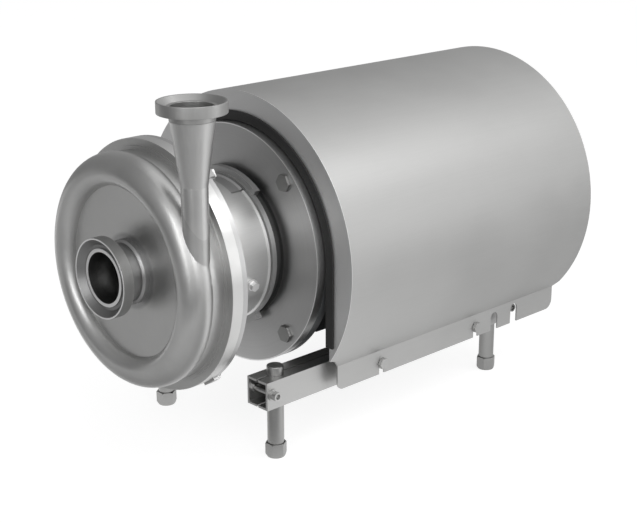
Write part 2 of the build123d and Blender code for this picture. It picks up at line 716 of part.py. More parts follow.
def guard(side):
    """Curved sheet guard with a tab on top and a rolled bead at its motor end."""
    inner = LANTERN_R + TOUCH
    outer = inner + GUARD_T
    end = COLLAR_X - TOUCH
    half = sector(-GUARD_HALF_ANGLE, GUARD_HALF_ANGLE,
                  (end - GUARD_LENGTH, inner), (end - GUARD_LENGTH, outer), (end - BEAD_LENGTH, outer),
                  (end - BEAD_LENGTH / 2, outer + BEAD_HEIGHT), (end, outer), (end, inner))
    half += tab_strip(GUARD_HALF_ANGLE - MERGE, GUARD_TAB_END, inner, outer, 0)
    half = half if side < 0 else mirror(half, Plane.XZ)
    return half - guard_screw_places(rod(GUARD_SCREW_D / 2 + RUN, LANTERN_BORE_R, COLLAR_R))


def guard_screws():
    """Hex screws with a spacer boss under the head."""
    seat = LANTERN_R + 2 * TOUCH + GUARD_T
    wall = LANTERN_R - LANTERN_BORE_R
    head = seat + GUARD_BOSS_T
    screw = rod(GUARD_BOSS_R, seat, head)
    screw += hexagon(GUARD_SCREW_FLATS, head, head + GUARD_SCREW_HEAD)
    screw += rod(GUARD_SCREW_D / 2, LANTERN_R - wall, head)
    return group(guard_screw_places(screw))


def casing_screws():
    """Hex screws from behind the lugs into the casing's rim."""
    end = SEAT + ADAPTER_LIP_T + LUG_T
    screw = Rot(0, 180, 0) * hex_screw(CASING_SCREW_D, ADAPTER_LIP_T + LUG_T + CASING_SCREW_DEPTH - HOLE_ROOM)
    return group([polar(CASING_SCREW_R, angle) * Pos(end + TOUCH, 0, 0) * screw for angle in LUG_ANGLES])


def flange_bolts():
    """Bolts and nuts that hold the adapter to the motor."""
    grip = ADAPTER_FLANGE_T + MOTOR_FLANGE_T
    bolt = hex_screw(FLANGE_BOLT_D, grip + FLANGE_BOLT_D, FLANGE_BOLT_HEAD)
    bolt = Pos(-ADAPTER_FLANGE_T - TOUCH, 0, 0) * bolt
    nut_start = MOTOR_FLANGE_T + TOUCH
    nut = hexagon(HEX_FLATS * FLANGE_BOLT_D, nut_start, nut_start + HEX_NUT * FLANGE_BOLT_D)
    nut -= rod(FLANGE_BOLT_D / 2 + TOUCH, nut_start, nut_start + FLANGE_BOLT_D)
    return group([polar(FLANGE_BOLT_R, 45 + 90 * k) * piece for k in range(4) for piece in (bolt, nut)])


# Motor
def motor_front_shield():
    """Flange end shield with its spigot and the front bearing's seat."""
    end = BEARING_START + BEARING_WIDTH
    hub = BEARING_R + SHIELD_WALL
    inside = BEARING_START - SHIELD_STEP
    shield = turned(
        (-SPIGOT_LENGTH, SHAFT_HOLE_R), (-SPIGOT_LENGTH, SPIGOT_R), (0, SPIGOT_R), (0, FLANGE_R),
        (MOTOR_FLANGE_T, FLANGE_R), (MOTOR_FLANGE_T, SHIELD_ROOT_R), (SHIELD_LENGTH, FRAME_R),
        (SHIELD_LENGTH, FRAME_BORE_R), (inside, FRAME_BORE_R - SHIELD_WALL), (inside, hub + HUB_TAPER),
        (end, hub), (end, BEARING_R + TOUCH), (BEARING_START, BEARING_R + TOUCH),
        (BEARING_START, BEARING_R - RACE_T), (BEARING_START - SHIELD_WALL, BEARING_R - RACE_T),
        (BEARING_START - SHIELD_WALL, SHAFT_HOLE_R))
    hole = rod(FLANGE_BOLT_D / 2 + HOLE_ROOM, 0, MOTOR_FLANGE_T)
    return shield - [polar(FLANGE_BOLT_R, 45 + 90 * k) * hole for k in range(4)]


def motor_foot():
    """Cast foot: a pad under the bolt and a web up to the frame."""
    outer = FOOT_SPREAD + FOOT_PAD / 2
    inner = FOOT_SPREAD - FOOT_PAD / 2
    deep = FRAME_R * sin(radians(FOOT_WEB_ANGLE))
    near = FRAME_R * cos(radians(FOOT_WEB_ANGLE))
    wide = FRAME_R * cos(radians(35))
    high = FRAME_R * sin(radians(35))
    pad_top = BAR_TOP + FOOT_PAD_T
    outline = Polyline((outer, BAR_TOP), (inner, BAR_TOP), (near, -deep), (near, -high), (wide, -high),
                       (outer - FOOT_PAD / 2, pad_top), (outer, pad_top), close=True)
    foot = Pos(-FOOT_PAD / 2, 0, 0) * extrude(Plane.YZ * make_face(outline), FOOT_PAD)
    hole = Pos(0, FOOT_SPREAD, 0) * STAND_UP * rod(FOOT_BOLT_D / 2 + HOLE_ROOM, BAR_TOP, pad_top)
    head_room = slab(-FOOT_PAD / 2, FOOT_PAD / 2, FOOT_SPREAD - FOOT_BOLT_D, outer, pad_top, -high)
    return foot - hole - head_room


def foot_rail():
    """Rail along the underside of the frame that the feet grow from."""
    inner = FRAME_R * cos(radians(FOOT_WEB_ANGLE))
    high = FRAME_R * sin(radians(35))
    return slab(SHIELD_LENGTH, FRAME_END, inner, inner + FOOT_RAIL_T, BAR_TOP + FOOT_RAIL_STAND, -high)


def motor_frame():
    """Finned frame with two rails, four feet and the seat of the terminal box."""
    fin = Pos((FRAME_BORE_R + FIN_TIP_R) / 2, 0) * Rectangle(FIN_TIP_R - FRAME_BORE_R, FIN_T)
    section = Circle(FRAME_R) + [Rot(0, 0, 360 / FIN_COUNT * k) * fin for k in range(FIN_COUNT)]
    frame = Pos(SHIELD_LENGTH, 0, 0) * extrude(Plane.YZ * section, FRAME_LENGTH)
    inset = BOX_WALL
    frame += slab(BOX_START + inset, BOX_START + BOX_LENGTH - inset, inset - BOX_WIDTH / 2,
                  BOX_WIDTH / 2 - inset, FRAME_BORE_R, BOX_BASE)
    frame += both_sides(foot_rail())
    frame -= rod(FRAME_BORE_R, SHIELD_LENGTH, FRAME_END)
    pad_top = BAR_TOP + FOOT_PAD_T
    for station in foot_bolt_stations():
        foot = Pos(station, 0, 0) * motor_foot()
        room = Pos(station, FOOT_SPREAD, 0) * STAND_UP * rod(FOOT_BOLT_D, pad_top, pad_top + 2 * FOOT_PAD_T)
        frame = frame + both_sides(foot - rod(FRAME_R - MERGE, 0, FRAME_END)) - both_sides(room)
    return frame - shield_screw_places(rod(MOTOR_SCREW_D / 2 + TOUCH, -SHIELD_SCREW_REACH, 0))


def shield_screw_places(piece):
    """Copies of a piece drawn along +X from the frame's rear end, at the rear shield's screws."""
    return [polar(SHIELD_SCREW_R, 45 + 90 * k) * Pos(FRAME_END, 0, 0) * piece for k in range(4)]


def cover_screw_places(piece):
    """Copies of a piece drawn along +X, set to point outward at the fan cover's screws."""
    outward = Pos(FRAME_END + COVER_LAP / 2, 0, 0) * STAND_UP * piece
    return [Rot(45 + 90 * k, 0, 0) * outward for k in range(4)]


def motor_rear_shield():
    """End shield with the rear bearing's seat, and the four ears that carry the fan cover."""
    start = REAR_BEARING_X
    end = start + BEARING_WIDTH
    back = FRAME_END + REAR_SHIELD_T
    hub = BEARING_R + SHIELD_WALL
    hole = FAN_SEAT_R + SHAFT_GAP
    inside = FRAME_END + SHIELD_WALL / 2
    shield = turned(
        (FRAME_END, FRAME_BORE_R), (FRAME_END, REAR_SHIELD_R), (back - REAR_SHIELD_EDGE, REAR_SHIELD_R),
        (back, REAR_SHIELD_R - REAR_SHIELD_EDGE), (back, hole), (end + BEARING_RELIEF, hole),
        (end + BEARING_RELIEF, BEARING_R - RACE_T), (end, BEARING_R - RACE_T), (end, BEARING_R + TOUCH),
        (start - SHIELD_STEP, BEARING_R + TOUCH), (start - SHIELD_STEP, hub), (inside, hub + HUB_TAPER),
        (inside, FRAME_BORE_R - SHIELD_WALL))
    root, tip = REAR_SHIELD_R - MERGE, COVER_R - TOUCH
    ear_end = FRAME_END + COVER_LAP - SHIELD_STEP
    ear = sector(45 - COVER_EAR_HALF_ANGLE, 45 + COVER_EAR_HALF_ANGLE,
                 (FRAME_END, root), (FRAME_END, tip), (ear_end, tip), (ear_end, root))
    shield += [Rot(90 * k, 0, 0) * ear for k in range(4)]
    shield -= shield_screw_places(rod(MOTOR_SCREW_D / 2 + TOUCH, 0, REAR_SHIELD_T))
    return shield - cover_screw_places(rod(MOTOR_SCREW_D / 2 + TOUCH, REAR_SHIELD_R, COVER_R))


def bearing_outer_ring(start):
    """Outer ring with its ball groove."""
    middle = start + BEARING_WIDTH / 2
    pitch = (BEARING_BORE_R + BEARING_R) / 2
    groove = revolve(Pos(middle, 0, pitch) * Rot(90, 0, 0) * Circle(BALL_R + RUN), Axis.X)
    return ring(BEARING_R - RACE_T, BEARING_R, start + TOUCH, start + BEARING_WIDTH) - groove


def bearing_inner_ring(start):
    """Inner ring and the balls that it carries."""
    middle = start + BEARING_WIDTH / 2
    pitch = (BEARING_BORE_R + BEARING_R) / 2
    groove = revolve(Pos(middle, 0, pitch) * Rot(90, 0, 0) * Circle(BALL_R + TOUCH), Axis.X)
    race = ring(BEARING_BORE_R + TOUCH, BEARING_BORE_R + RACE_T, start, start + BEARING_WIDTH) - groove
    ball = Pos(middle, 0, pitch) * Sphere(BALL_R)
    return group([race] + [Rot(360 / BALL_COUNT * k, 0, 0) * ball for k in range(BALL_COUNT)])


def stator_core():
    """Laminated ring pressed into the frame."""
    return ring(ROTOR_R + AIR_GAP, FRAME_BORE_R - TOUCH, CORE_START, CORE_START + CORE_LENGTH)


def stator_windings():
    """Winding heads at both ends of the core."""
    middle = (ROTOR_R + FRAME_BORE_R) / 2
    half = WINDING_T / 2
    core_end = CORE_START + CORE_LENGTH
    heads = []
    for start, reach in ((CORE_START - TOUCH, -WINDING_REACH), (core_end + TOUCH, WINDING_REACH)):
        bend, end = start + reach * 0.75, start + reach
        heads.append(turned(
            (start, middle - half), (start, middle + half), (bend, middle + half),
            (end, middle + half / 2), (end, middle - half / 2), (bend, middle - half)))
    return group(heads)


def motor_shaft():
    """Stepped motor shaft from the coupling end to the fan seat."""
    front_start = BEARING_START - SHIELD_WALL
    front_end = BEARING_START + BEARING_WIDTH + TOUCH
    body_start, body_end = CORE_START - SHIELD_WALL, CORE_START + CORE_LENGTH + SHIELD_WALL
    rear_start, rear_end = REAR_BEARING_X - TOUCH, REAR_BEARING_X + BEARING_WIDTH - SHAFT_STEP_SETBACK
    shoulder = BEARING_BORE_R + RACE_T / 2
    end = FAN_X + FAN_LENGTH + SHAFT_END_REACH
    return turned(
        (-MOTOR_SHAFT_REACH, 0), (-MOTOR_SHAFT_REACH, MOTOR_SHAFT_R), (front_start, MOTOR_SHAFT_R),
        (front_start, BEARING_BORE_R), (front_end, BEARING_BORE_R), (front_end, shoulder),
        (body_start, shoulder), (body_start, ROTOR_BORE_R), (body_end, ROTOR_BORE_R), (body_end, shoulder),
        (rear_start, shoulder), (rear_start, BEARING_BORE_R), (rear_end, BEARING_BORE_R),
        (rear_end, FAN_SEAT_R), (end, FAN_SEAT_R), (end, 0))


def rotor_core():
    """Rotor with its two end rings."""
    end_ring = SHIELD_WALL
    core_end = CORE_START + CORE_LENGTH
    bore = ROTOR_BORE_R + TOUCH
    return turned(
        (CORE_START - end_ring, ROTOR_R - 3 * end_ring), (CORE_START - end_ring, ROTOR_R - end_ring / 2),
        (CORE_START, ROTOR_R - end_ring / 2), (CORE_START, ROTOR_R), (core_end, ROTOR_R),
        (core_end, ROTOR_R - end_ring / 2), (core_end + end_ring, ROTOR_R - end_ring / 2),
        (core_end + end_ring, ROTOR_R - 3 * end_ring), (core_end, ROTOR_R - 3 * end_ring),
        (core_end, bore), (CORE_START, bore), (CORE_START, ROTOR_R - 3 * end_ring))


def fan():
    """Straight bladed fan for either way of turning."""
    end = FAN_X + FAN_LENGTH
    body = ring(FAN_SEAT_R + TOUCH, FAN_HUB_R, FAN_X, end)
    body += ring(FAN_HUB_R - MERGE, FAN_R, FAN_X, FAN_X + FAN_BLADE_T)
    blade = slab(FAN_X, end, -FAN_BLADE_T / 2, FAN_BLADE_T / 2, FAN_HUB_R - MERGE, FAN_R - MERGE)
    return body + [Rot(360 / FAN_BLADES * k, 0, 0) * blade for k in range(FAN_BLADES)]


def fan_cover():
    """Sheet cover with a slotted grille in its end."""
    inner = COVER_R
    outer = inner + COVER_T
    start = FRAME_END + TOUCH
    corner_x = COVER_END - COVER_CORNER
    corner_r = outer - COVER_CORNER
    cover = turned(
        (start, inner), (start, outer),
        arc(corner_x, corner_r, COVER_CORNER, 90, 0), (COVER_END, 0), (COVER_END - COVER_T, 0),
        arc(corner_x, corner_r, COVER_CORNER - COVER_T, 0, 90))
    for k in range(GRILLE_SLOTS):
        for low, high in GRILLE_BANDS[k % 2:]:
            opening = slab(corner_x, COVER_END, -GRILLE_SLOT_W / 2, GRILLE_SLOT_W / 2, low, high)
            cover -= Rot(360 / GRILLE_SLOTS * k, 0, 0) * opening
    return cover - cover_screw_places(rod(MOTOR_SCREW_D / 2 + SLIP, REAR_SHIELD_R, COVER_R + 2 * COVER_T))


def motor_screws():
    """Screws of the rear shield and of the fan cover."""
    inward = Rot(0, 180, 0) * hex_screw(MOTOR_SCREW_D, REAR_SHIELD_T + SHIELD_SCREW_REACH - HOLE_ROOM)
    axial = Pos(REAR_SHIELD_T + TOUCH, 0, 0) * inward
    seat = COVER_R + COVER_T + SLIP
    radial = Pos(seat, 0, 0) * Rot(0, 180, 0) * hex_screw(MOTOR_SCREW_D, seat - REAR_SHIELD_R - HOLE_ROOM)
    return group(shield_screw_places(axial) + cover_screw_places(radial))


# Terminal box
def box_plate(low, high, shrink=0.0):
    """Block with the terminal box's rounded outline."""
    outline = RectangleRounded(BOX_LENGTH - 2 * shrink, BOX_WIDTH - 2 * shrink, BOX_CORNER - shrink)
    return Pos(BOX_START + BOX_LENGTH / 2, 0, low) * extrude(outline, high - low)


def terminal_box():
    """Open topped box with two cable entries on the left."""
    top = BOX_BASE + BOX_HEIGHT
    box = box_plate(BOX_BASE + TOUCH, top) - box_plate(BOX_BASE + BOX_WALL, top, BOX_WALL)
    return box - gland_places(rod(GLAND_BORE_R + SLIP, 0, BOX_WIDTH))


def gland_places(piece):
    """Copies of a piece drawn along +X, set to point out of the box's left wall."""
    middle = BOX_START + BOX_LENGTH / 2
    height = BOX_BASE + (BOX_HEIGHT + BOX_WALL) / 2
    turn = Rot(0, 0, 90)
    return [Pos(middle + shift, 0, height) * turn * piece for shift in (-GLAND_SPREAD / 2, GLAND_SPREAD / 2)]


def cable_glands():
    """Hollow cable glands with a hex foot and a domed cap."""
    start = BOX_WIDTH / 2 + TOUCH
    thread = start - BOX_WALL
    gland = hexagon(GLAND_FLATS, start, start + GLAND_LENGTH / 3)
    gland += rod(GLAND_R - GLAND_WALL, start, start + GLAND_LENGTH)
    gland += rod(GLAND_BORE_R, thread, start)
    return group(gland_places(gland - rod(GLAND_BORE_R - GLAND_WALL, 0, start + GLAND_LENGTH)))


def terminal_box_lid():
    top = BOX_BASE + BOX_HEIGHT
    lid = box_plate(top + TOUCH, top + BOX_LID_T)
    return chamfer(lid.edges().group_by(Axis.Z)[-1], BOX_LID_BEVEL)


def terminal_box_screws():
    top = BOX_BASE + BOX_HEIGHT + BOX_LID_T
    head = Pos(0, 0, top + TOUCH) * STAND_UP * rod(BOX_SCREW_D, 0, BOX_SCREW_D / 2)
    sideways = BOX_WIDTH / 2 - BOX_CORNER
    along = BOX_LENGTH / 2 - BOX_CORNER
    middle = BOX_START + BOX_LENGTH / 2
    return group([Pos(middle + sx * along, sy * sideways, 0) * head for sx in (-1, 1) for sy in (-1, 1)])


# Leg bars, legs and feet
def foot_bolt_stations():
    return (FOOT_FIRST, FOOT_FIRST + FOOT_PITCH)


def clamp_stations():
    return (LEG_FRONT - CLAMP_OFFSET, LEG_REAR + CLAMP_OFFSET)


def channel(side, outer):
    """One of the two channels that face each other round the legs."""
    web = BAR_OUTER if outer else BAR_INNER
    turn = 1 if outer else -1
    mouth = FOOT_SPREAD + turn * BAR_GAP / 2
    start, end = LEG_FRONT - BAR_END, LEG_REAR + BAR_END
    low, high = sorted((mouth, web))
    bar = slab(start, end, low, high, BAR_BOTTOM, BAR_TOP)
    low, high = sorted((mouth, web - turn * BAR_T))
    bar -= slab(start, end, low, high, BAR_BOTTOM + BAR_T, BAR_TOP - BAR_T)
    for station in LEG_STATIONS.values():
        bar -= Pos(station, FOOT_SPREAD, 0) * STAND_UP * rod(LEG_R + RUN, BAR_BOTTOM, BAR_TOP)
    for station in foot_bolt_stations():
        bar -= Pos(station, FOOT_SPREAD, 0) * STAND_UP * rod(FOOT_BOLT_D / 2 + RUN, BAR_TOP - BAR_T, BAR_TOP)
    for station in clamp_stations():
        bar -= across(station, CLAMP_LEVEL, rod(CLAMP_D / 2 + SLIP, BAR_INNER, BAR_OUTER))
    if outer:
        for station in HANG_STATIONS:
            bar -= across(station, -HANG_DROP, rod(HANG_BOLT_D / 2 + SLIP, BAR_INNER, BAR_OUTER))
    return bar if side > 0 else mirror(bar, Plane.XZ)


def across(station, height, piece):
    """A piece drawn along +X, laid along +Y at a station and a height."""
    return Pos(station, 0, height) * Rot(0, 0, 90) * piece


def foot_bolts():
    """Bolts down through the motor's feet, each with a square nut plate inside the bar."""
    head = BAR_TOP + FOOT_PAD_T + TOUCH
    under = BAR_TOP - BAR_T - TOUCH
    bolt = hexagon(HEX_FLATS * FOOT_BOLT_D, head, head + HEX_HEAD * FOOT_BOLT_D)
    bolt += rod(FOOT_BOLT_D / 2, BAR_TOP - BAR_T - FOOT_BOLT_D, head)
    side = BAR_WIDTH - 2 * BAR_T - 2 * RUN
    nut = slab(-side / 2, side / 2, -side / 2, side / 2, under - HEX_NUT * FOOT_BOLT_D, under)
    pieces = [STAND_UP * bolt, nut - STAND_UP * rod(FOOT_BOLT_D / 2 + TOUCH, BAR_BOTTOM, BAR_TOP)]
    places = [Pos(station, sy * FOOT_SPREAD, 0) for station in foot_bolt_stations() for sy in (-1, 1)]
    return group([place * piece for place in places for piece in pieces])


def clamp_screws():
    """Flanged socket head screws across both channels, with their nuts inside the inner channel."""
    seat = BAR_OUTER + TOUCH
    head = seat + CLAMP_WASHER_T
    screw = rod(CLAMP_WASHER_R, seat, head) + rod(CLAMP_HEAD_R, head, head + CLAMP_HEAD_T)
    screw += rod(CLAMP_D / 2, BAR_INNER, head)
    screw -= hexagon(2 * CLAMP_SOCKET_R, head + CLAMP_HEAD_T / 2, head + CLAMP_HEAD_T)
    web = BAR_INNER + BAR_T + TOUCH
    nut = hexagon(HEX_FLATS * CLAMP_D, web, web + HEX_NUT * CLAMP_D)
    nut -= rod(CLAMP_D / 2 + TOUCH, BAR_INNER, web + CLAMP_D)
    return group([copy for station in clamp_stations() for piece in (screw, nut)
                  for copy in both_sides(across(station, CLAMP_LEVEL, piece))])


def leg(station, side):
    """Leg tube with a closed top. The foot's stud runs in its bore."""
    bottom = FOOT_TOP + RUN
    tube = turned(
        (bottom, FOOT_STUD_R + SLIP), (bottom, LEG_R),
        arc(LEG_TOP - LEG_ROUND, LEG_R - LEG_ROUND, LEG_ROUND, 90, 0), (LEG_TOP, 0),
        (LEG_TOP - LEG_CAP_T, 0), (LEG_TOP - LEG_CAP_T, FOOT_STUD_R + SLIP))
    return Pos(station, side * FOOT_SPREAD, 0) * STAND_UP * tube


def foot(station, side):
    """Hexagonal foot with a tapered base and its stud."""
    corner = FOOT_FLATS / sqrt(3)
    blank = turned(
        (FLOOR, 0), (FLOOR, corner - FOOT_INSET), (FLOOR + FOOT_TAPER, corner),
        (FOOT_TOP - FOOT_BEVEL, corner), (FOOT_TOP, corner - 1.5 * FOOT_BEVEL), (FOOT_TOP, 0))
    pad = hexagon(FOOT_FLATS, FLOOR, FOOT_TOP) & blank
    pad += rod(FOOT_STUD_R, FOOT_TOP - MERGE, FOOT_TOP + FOOT_STUD_LENGTH)
    return Pos(station, side * FOOT_SPREAD, 0) * STAND_UP * pad


# Shroud
def opening_outline(half):
    """U shaped outline of the front opening: round on top, straight below."""
    drop = SHROUD_R
    return Circle(half) + Pos(0, -drop / 2) * Rectangle(2 * half, drop)


def sheet_block(inset, start, end):
    """Space inside the shroud's outline, drawn inward by the inset: round on top, straight skirts below."""
    size = SHROUD_R - inset
    edge = SKIRT_Y - inset
    fold = SHROUD_SINK + sqrt(size ** 2 - edge ** 2)
    low = SKIRT_BOTTOM + inset
    top = Pos(0, 0, -SHROUD_SINK) * rod(size, start, end)
    top &= slab(start, end, -size, size, -fold, size)
    return top + slab(start, end, -edge, edge, -low, 0)


def slot(station, top, width):
    """Slot that is open at the skirt's lower edge, through both skirts."""
    low = -SKIRT_BOTTOM - MERGE
    middle = -top - width / 2
    reach = SHROUD_R
    cut = slab(station - width / 2, station + width / 2, -reach, reach, low, middle)
    return cut + across(station, middle, rod(width / 2, -reach, reach))


def shroud_end(x):
    """End plate with the U shaped opening."""
    opening = Pos(x, 0, 0) * extrude(Plane.YZ * opening_outline(OPENING_R), SHROUD_T)
    return sheet_block(SHROUD_T / 2, x, x + SHROUD_T) - opening


def shroud_side_view():
    """Outline of the shroud seen from the side, with its cut corners."""
    top = SHROUD_R
    start, end = SHROUD_FRONT, SHROUD_REAR
    shoulder = SKIRT_BOTTOM - SKIRT_DEPTH
    room = SHROUD_R - SHROUD_T, FLANGE_R + 2 * RUN
    flange_pass = SHROUD_SINK + sqrt(room[0] ** 2 - room[1] ** 2)
    outline = make_face(Polyline(
        (start, top), (end, top), (end, -REAR_CUT), (SKIRT_REAR, -shoulder), (SKIRT_REAR, -SKIRT_BOTTOM),
        (SKIRT_FRONT, -SKIRT_BOTTOM), (SKIRT_FRONT, -shoulder), (MOTOR_FLANGE_T + 2 * RUN, -flange_pass),
        (start, -FRONT_CUT), close=True))
    low = outline.vertices().sort_by(Axis.Y)[:2].sort_by(Axis.X)
    outline = fillet(low[0], FRONT_CORNER_R)
    rear = outline.vertices().sort_by(Axis.Y)[0:3].sort_by(Axis.X)[-1]
    return fillet(rear, REAR_CORNER_R)


def shroud():
    """Sheet shroud: round top, side skirts with open slots, and two end plates."""
    body = sheet_block(0, SHROUD_FRONT, SHROUD_REAR) - sheet_block(SHROUD_T, SHROUD_FRONT, SHROUD_REAR)
    body += [shroud_end(SHROUD_FRONT), shroud_end(rear_plate_x())]
    cutter = Pos(0, SHROUD_R, 0) * extrude(Plane.XZ * shroud_side_view(), 2 * SHROUD_R)
    body &= cutter
    body -= [slot(station, HANG_DROP - HANG_SLOT_W / 2, HANG_SLOT_W) for station in HANG_STATIONS]
    return body - [slot(station, top, WIDE_SLOT_W) for station, top in WIDE_SLOTS]


def rear_plate_x():
    return SHROUD_REAR - EDGING_T - SHROUD_T


def edging(plate_x):
    """Rubber profile that grips the edge of an end plate's opening."""
    ring_face = opening_outline(OPENING_R + EDGING_COVER) - opening_outline(OPENING_R - EDGING_LIP)
    strip = Pos(plate_x - EDGING_T, 0, 0) * extrude(Plane.YZ * ring_face, SHROUD_T + 2 * EDGING_T)
    reach = SHROUD_R
    strip -= slab(plate_x - reach, plate_x + reach, -reach, reach, -2 * reach, -EDGING_END)
    room = opening_outline(2 * reach) - opening_outline(OPENING_R - TOUCH)
    grip = Pos(plate_x - TOUCH, 0, 0) * extrude(Plane.YZ * room, SHROUD_T + 2 * TOUCH)
    return strip - grip


def shroud_spacers():
    """Bushes between the bar and the skirt."""
    bush = rod(SPACER_R, BAR_OUTER + TOUCH, SKIRT_Y - SHROUD_T - RUN)
    bush -= rod(HANG_BOLT_D / 2 + SLIP, BAR_OUTER, SKIRT_Y)
    return group([copy for station in HANG_STATIONS
                  for copy in both_sides(across(station, -HANG_DROP, bush))])


def shroud_bolts():
    """Hex bolts that the slotted skirts hang on, with nuts inside the bar."""
    seat = SKIRT_Y + RUN
    web = BAR_OUTER - BAR_T - TOUCH
    bolt = rod(HANG_BOLT_D / 2, web - HANG_BOLT_D, seat)
    bolt += hexagon(HEX_FLATS * HANG_BOLT_D, seat, seat + HEX_HEAD * HANG_BOLT_D)
    nut = hexagon(HEX_FLATS * HANG_BOLT_D, web - HEX_NUT * HANG_BOLT_D, web)
    nut -= rod(HANG_BOLT_D / 2 + TOUCH, web - HANG_BOLT_D, web)
    return group([copy for station in HANG_STATIONS for piece in (bolt, nut)
                  for copy in both_sides(across(station, -HANG_DROP, piece))])


def pieces():
    """Every node of the part, in the pump datum."""
    nodes = {
        "pump_casing": pump_casing(), "inlet_union": inlet_union(), "outlet_cone": outlet_cone(),
        "outlet_union": outlet_union(), "casing_o_ring": casing_o_ring(), "back_plate": back_plate(),
        "stationary_seal_ring": stationary_seal_ring(), "rotating_seal_ring": rotating_seal_ring(),
        "seal_spring": seal_spring(), "seal_drive_ring": seal_drive_ring(), "pump_shaft": pump_shaft(),
        "impeller": impeller(), "impeller_key": impeller_key(), "impeller_nut": impeller_nut(),
        "coupling_rings": coupling_rings(), "coupling_screws": coupling_screws(), "adapter": adapter(),
        "guard_right": guard(-1), "guard_left": guard(1), "guard_screws": guard_screws(),
        "casing_screws": casing_screws(), "flange_bolts": flange_bolts(),
        "motor_front_shield": motor_front_shield(), "motor_frame": motor_frame(),
        "motor_rear_shield": motor_rear_shield(), "motor_screws": motor_screws(),
        "front_bearing_outer_ring": bearing_outer_ring(BEARING_START),
        "front_bearing_inner_ring": bearing_inner_ring(BEARING_START),
        "rear_bearing_outer_ring": bearing_outer_ring(REAR_BEARING_X),
        "rear_bearing_inner_ring": bearing_inner_ring(REAR_BEARING_X),
        "stator_core": stator_core(), "stator_windings": stator_windings(), "motor_shaft": motor_shaft(),
        "rotor_core": rotor_core(), "fan": fan(), "fan_cover": fan_cover(), "terminal_box": terminal_box(),
        "terminal_box_lid": terminal_box_lid(), "terminal_box_screws": terminal_box_screws(),
        "cable_glands": cable_glands(), "foot_bolts": foot_bolts(), "clamp_screws": clamp_screws(),
        "shroud": shroud(), "front_edging": edging(SHROUD_FRONT), "rear_edging": edging(rear_plate_x()),
        "shroud_spacers": shroud_spacers(), "shroud_bolts": shroud_bolts(),
    }
    for side_name, side in SIDES.items():
        nodes[f"outer_channel_{side_name}"] = channel(side, True)
        nodes[f"inner_channel_{side_name}"] = channel(side, False)
        for end_name, station in LEG_STATIONS.items():
            nodes[f"leg_{end_name}_{side_name}"] = leg(station, side)
            nodes[f"foot_{end_name}_{side_name}"] = foot(station, side)
    return nodes


os.makedirs("parts", exist_ok=True)
for name, piece in pieces().items():
    export_step(TO_FRAME * piece, f"parts/{name}.step")
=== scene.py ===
"""Looks of the sanitary pump: procedural finishes, broken edges, soft studio light and the camera."""

import json
import math

import bmesh
import bpy
from mathutils import Matrix, Vector

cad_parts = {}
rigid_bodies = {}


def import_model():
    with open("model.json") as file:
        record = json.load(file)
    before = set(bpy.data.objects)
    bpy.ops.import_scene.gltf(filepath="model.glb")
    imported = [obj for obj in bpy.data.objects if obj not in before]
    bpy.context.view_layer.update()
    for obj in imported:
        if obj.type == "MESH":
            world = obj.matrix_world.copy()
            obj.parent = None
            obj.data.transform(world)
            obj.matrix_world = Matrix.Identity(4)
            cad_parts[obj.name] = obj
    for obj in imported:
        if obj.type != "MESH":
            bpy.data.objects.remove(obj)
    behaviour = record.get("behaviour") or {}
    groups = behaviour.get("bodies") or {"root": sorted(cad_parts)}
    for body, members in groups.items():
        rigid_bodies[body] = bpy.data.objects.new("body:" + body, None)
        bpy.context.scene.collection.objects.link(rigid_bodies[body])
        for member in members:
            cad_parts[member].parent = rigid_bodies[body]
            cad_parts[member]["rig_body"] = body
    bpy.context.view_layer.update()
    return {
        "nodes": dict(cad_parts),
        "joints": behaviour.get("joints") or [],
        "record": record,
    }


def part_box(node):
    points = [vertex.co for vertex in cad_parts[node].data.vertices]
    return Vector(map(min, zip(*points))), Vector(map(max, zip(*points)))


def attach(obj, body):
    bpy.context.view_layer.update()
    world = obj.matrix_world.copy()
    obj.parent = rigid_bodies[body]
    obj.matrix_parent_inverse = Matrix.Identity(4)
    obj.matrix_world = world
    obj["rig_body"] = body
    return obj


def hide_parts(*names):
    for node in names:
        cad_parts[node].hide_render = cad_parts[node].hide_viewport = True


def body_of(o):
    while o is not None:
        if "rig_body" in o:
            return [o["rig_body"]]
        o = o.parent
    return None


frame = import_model()
nodes = frame["nodes"]
joints = {joint["name"]: joint for joint in frame["joints"]}
mounts = {mount["name"]: mount for mount in frame["record"]["mounts"]}


def mount_radius(name):
    """A mount's radius, in metres."""
    return mounts[name]["dims"]["r_mm"] / 1000


# Places on the pump from the frame, in metres: the shaft's line, the motor's and shroud's faces, four radii
MOTOR_X, SHAFT_Y, SHAFT_Z = joints["shaft_spin"]["pos_m"]
SHAFT = (0, SHAFT_Y, SHAFT_Z)
SHROUD_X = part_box("shroud")[0].x
RIM_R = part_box("pump_casing")[1].y - SHAFT_Y
DISC_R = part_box("motor_front_shield")[1].y - SHAFT_Y
BORE_R = mount_radius("inlet_bore")
COLLAR_R = mount_radius("inlet_collar")

# Where a piece changes its tone, and how softly, in metres
LINE_FADE = 0.0002
RIM_FACE_R = RIM_R - 0.0012
RIM_FADE = 0.0006
NECK_R = 0.045
NECK_FADE = 0.002
NECK_BORE_R = BORE_R + 0.0017
# Painted shade in the adapter's groove behind the collar: its radius, fade and station
GROOVE_SHADE_R = 0.0905
GROOVE_SHADE_FADE = 0.0015
GROOVE_SHADE_X = MOTOR_X - 0.0238
# Painted highlight along the adapter disc's outer edge: inner and outer radius
DISC_EDGE_HIGHLIGHT = (DISC_R - 0.0015, DISC_R - 0.00025)
# Span of the shroud's front plate, which is painted paler as painted light
FRONT_PLATE = (SHROUD_X - 0.01, SHROUD_X + 0.0007)
LINER_R = BORE_R + 0.0045
RECESS_R = COLLAR_R - 0.0018
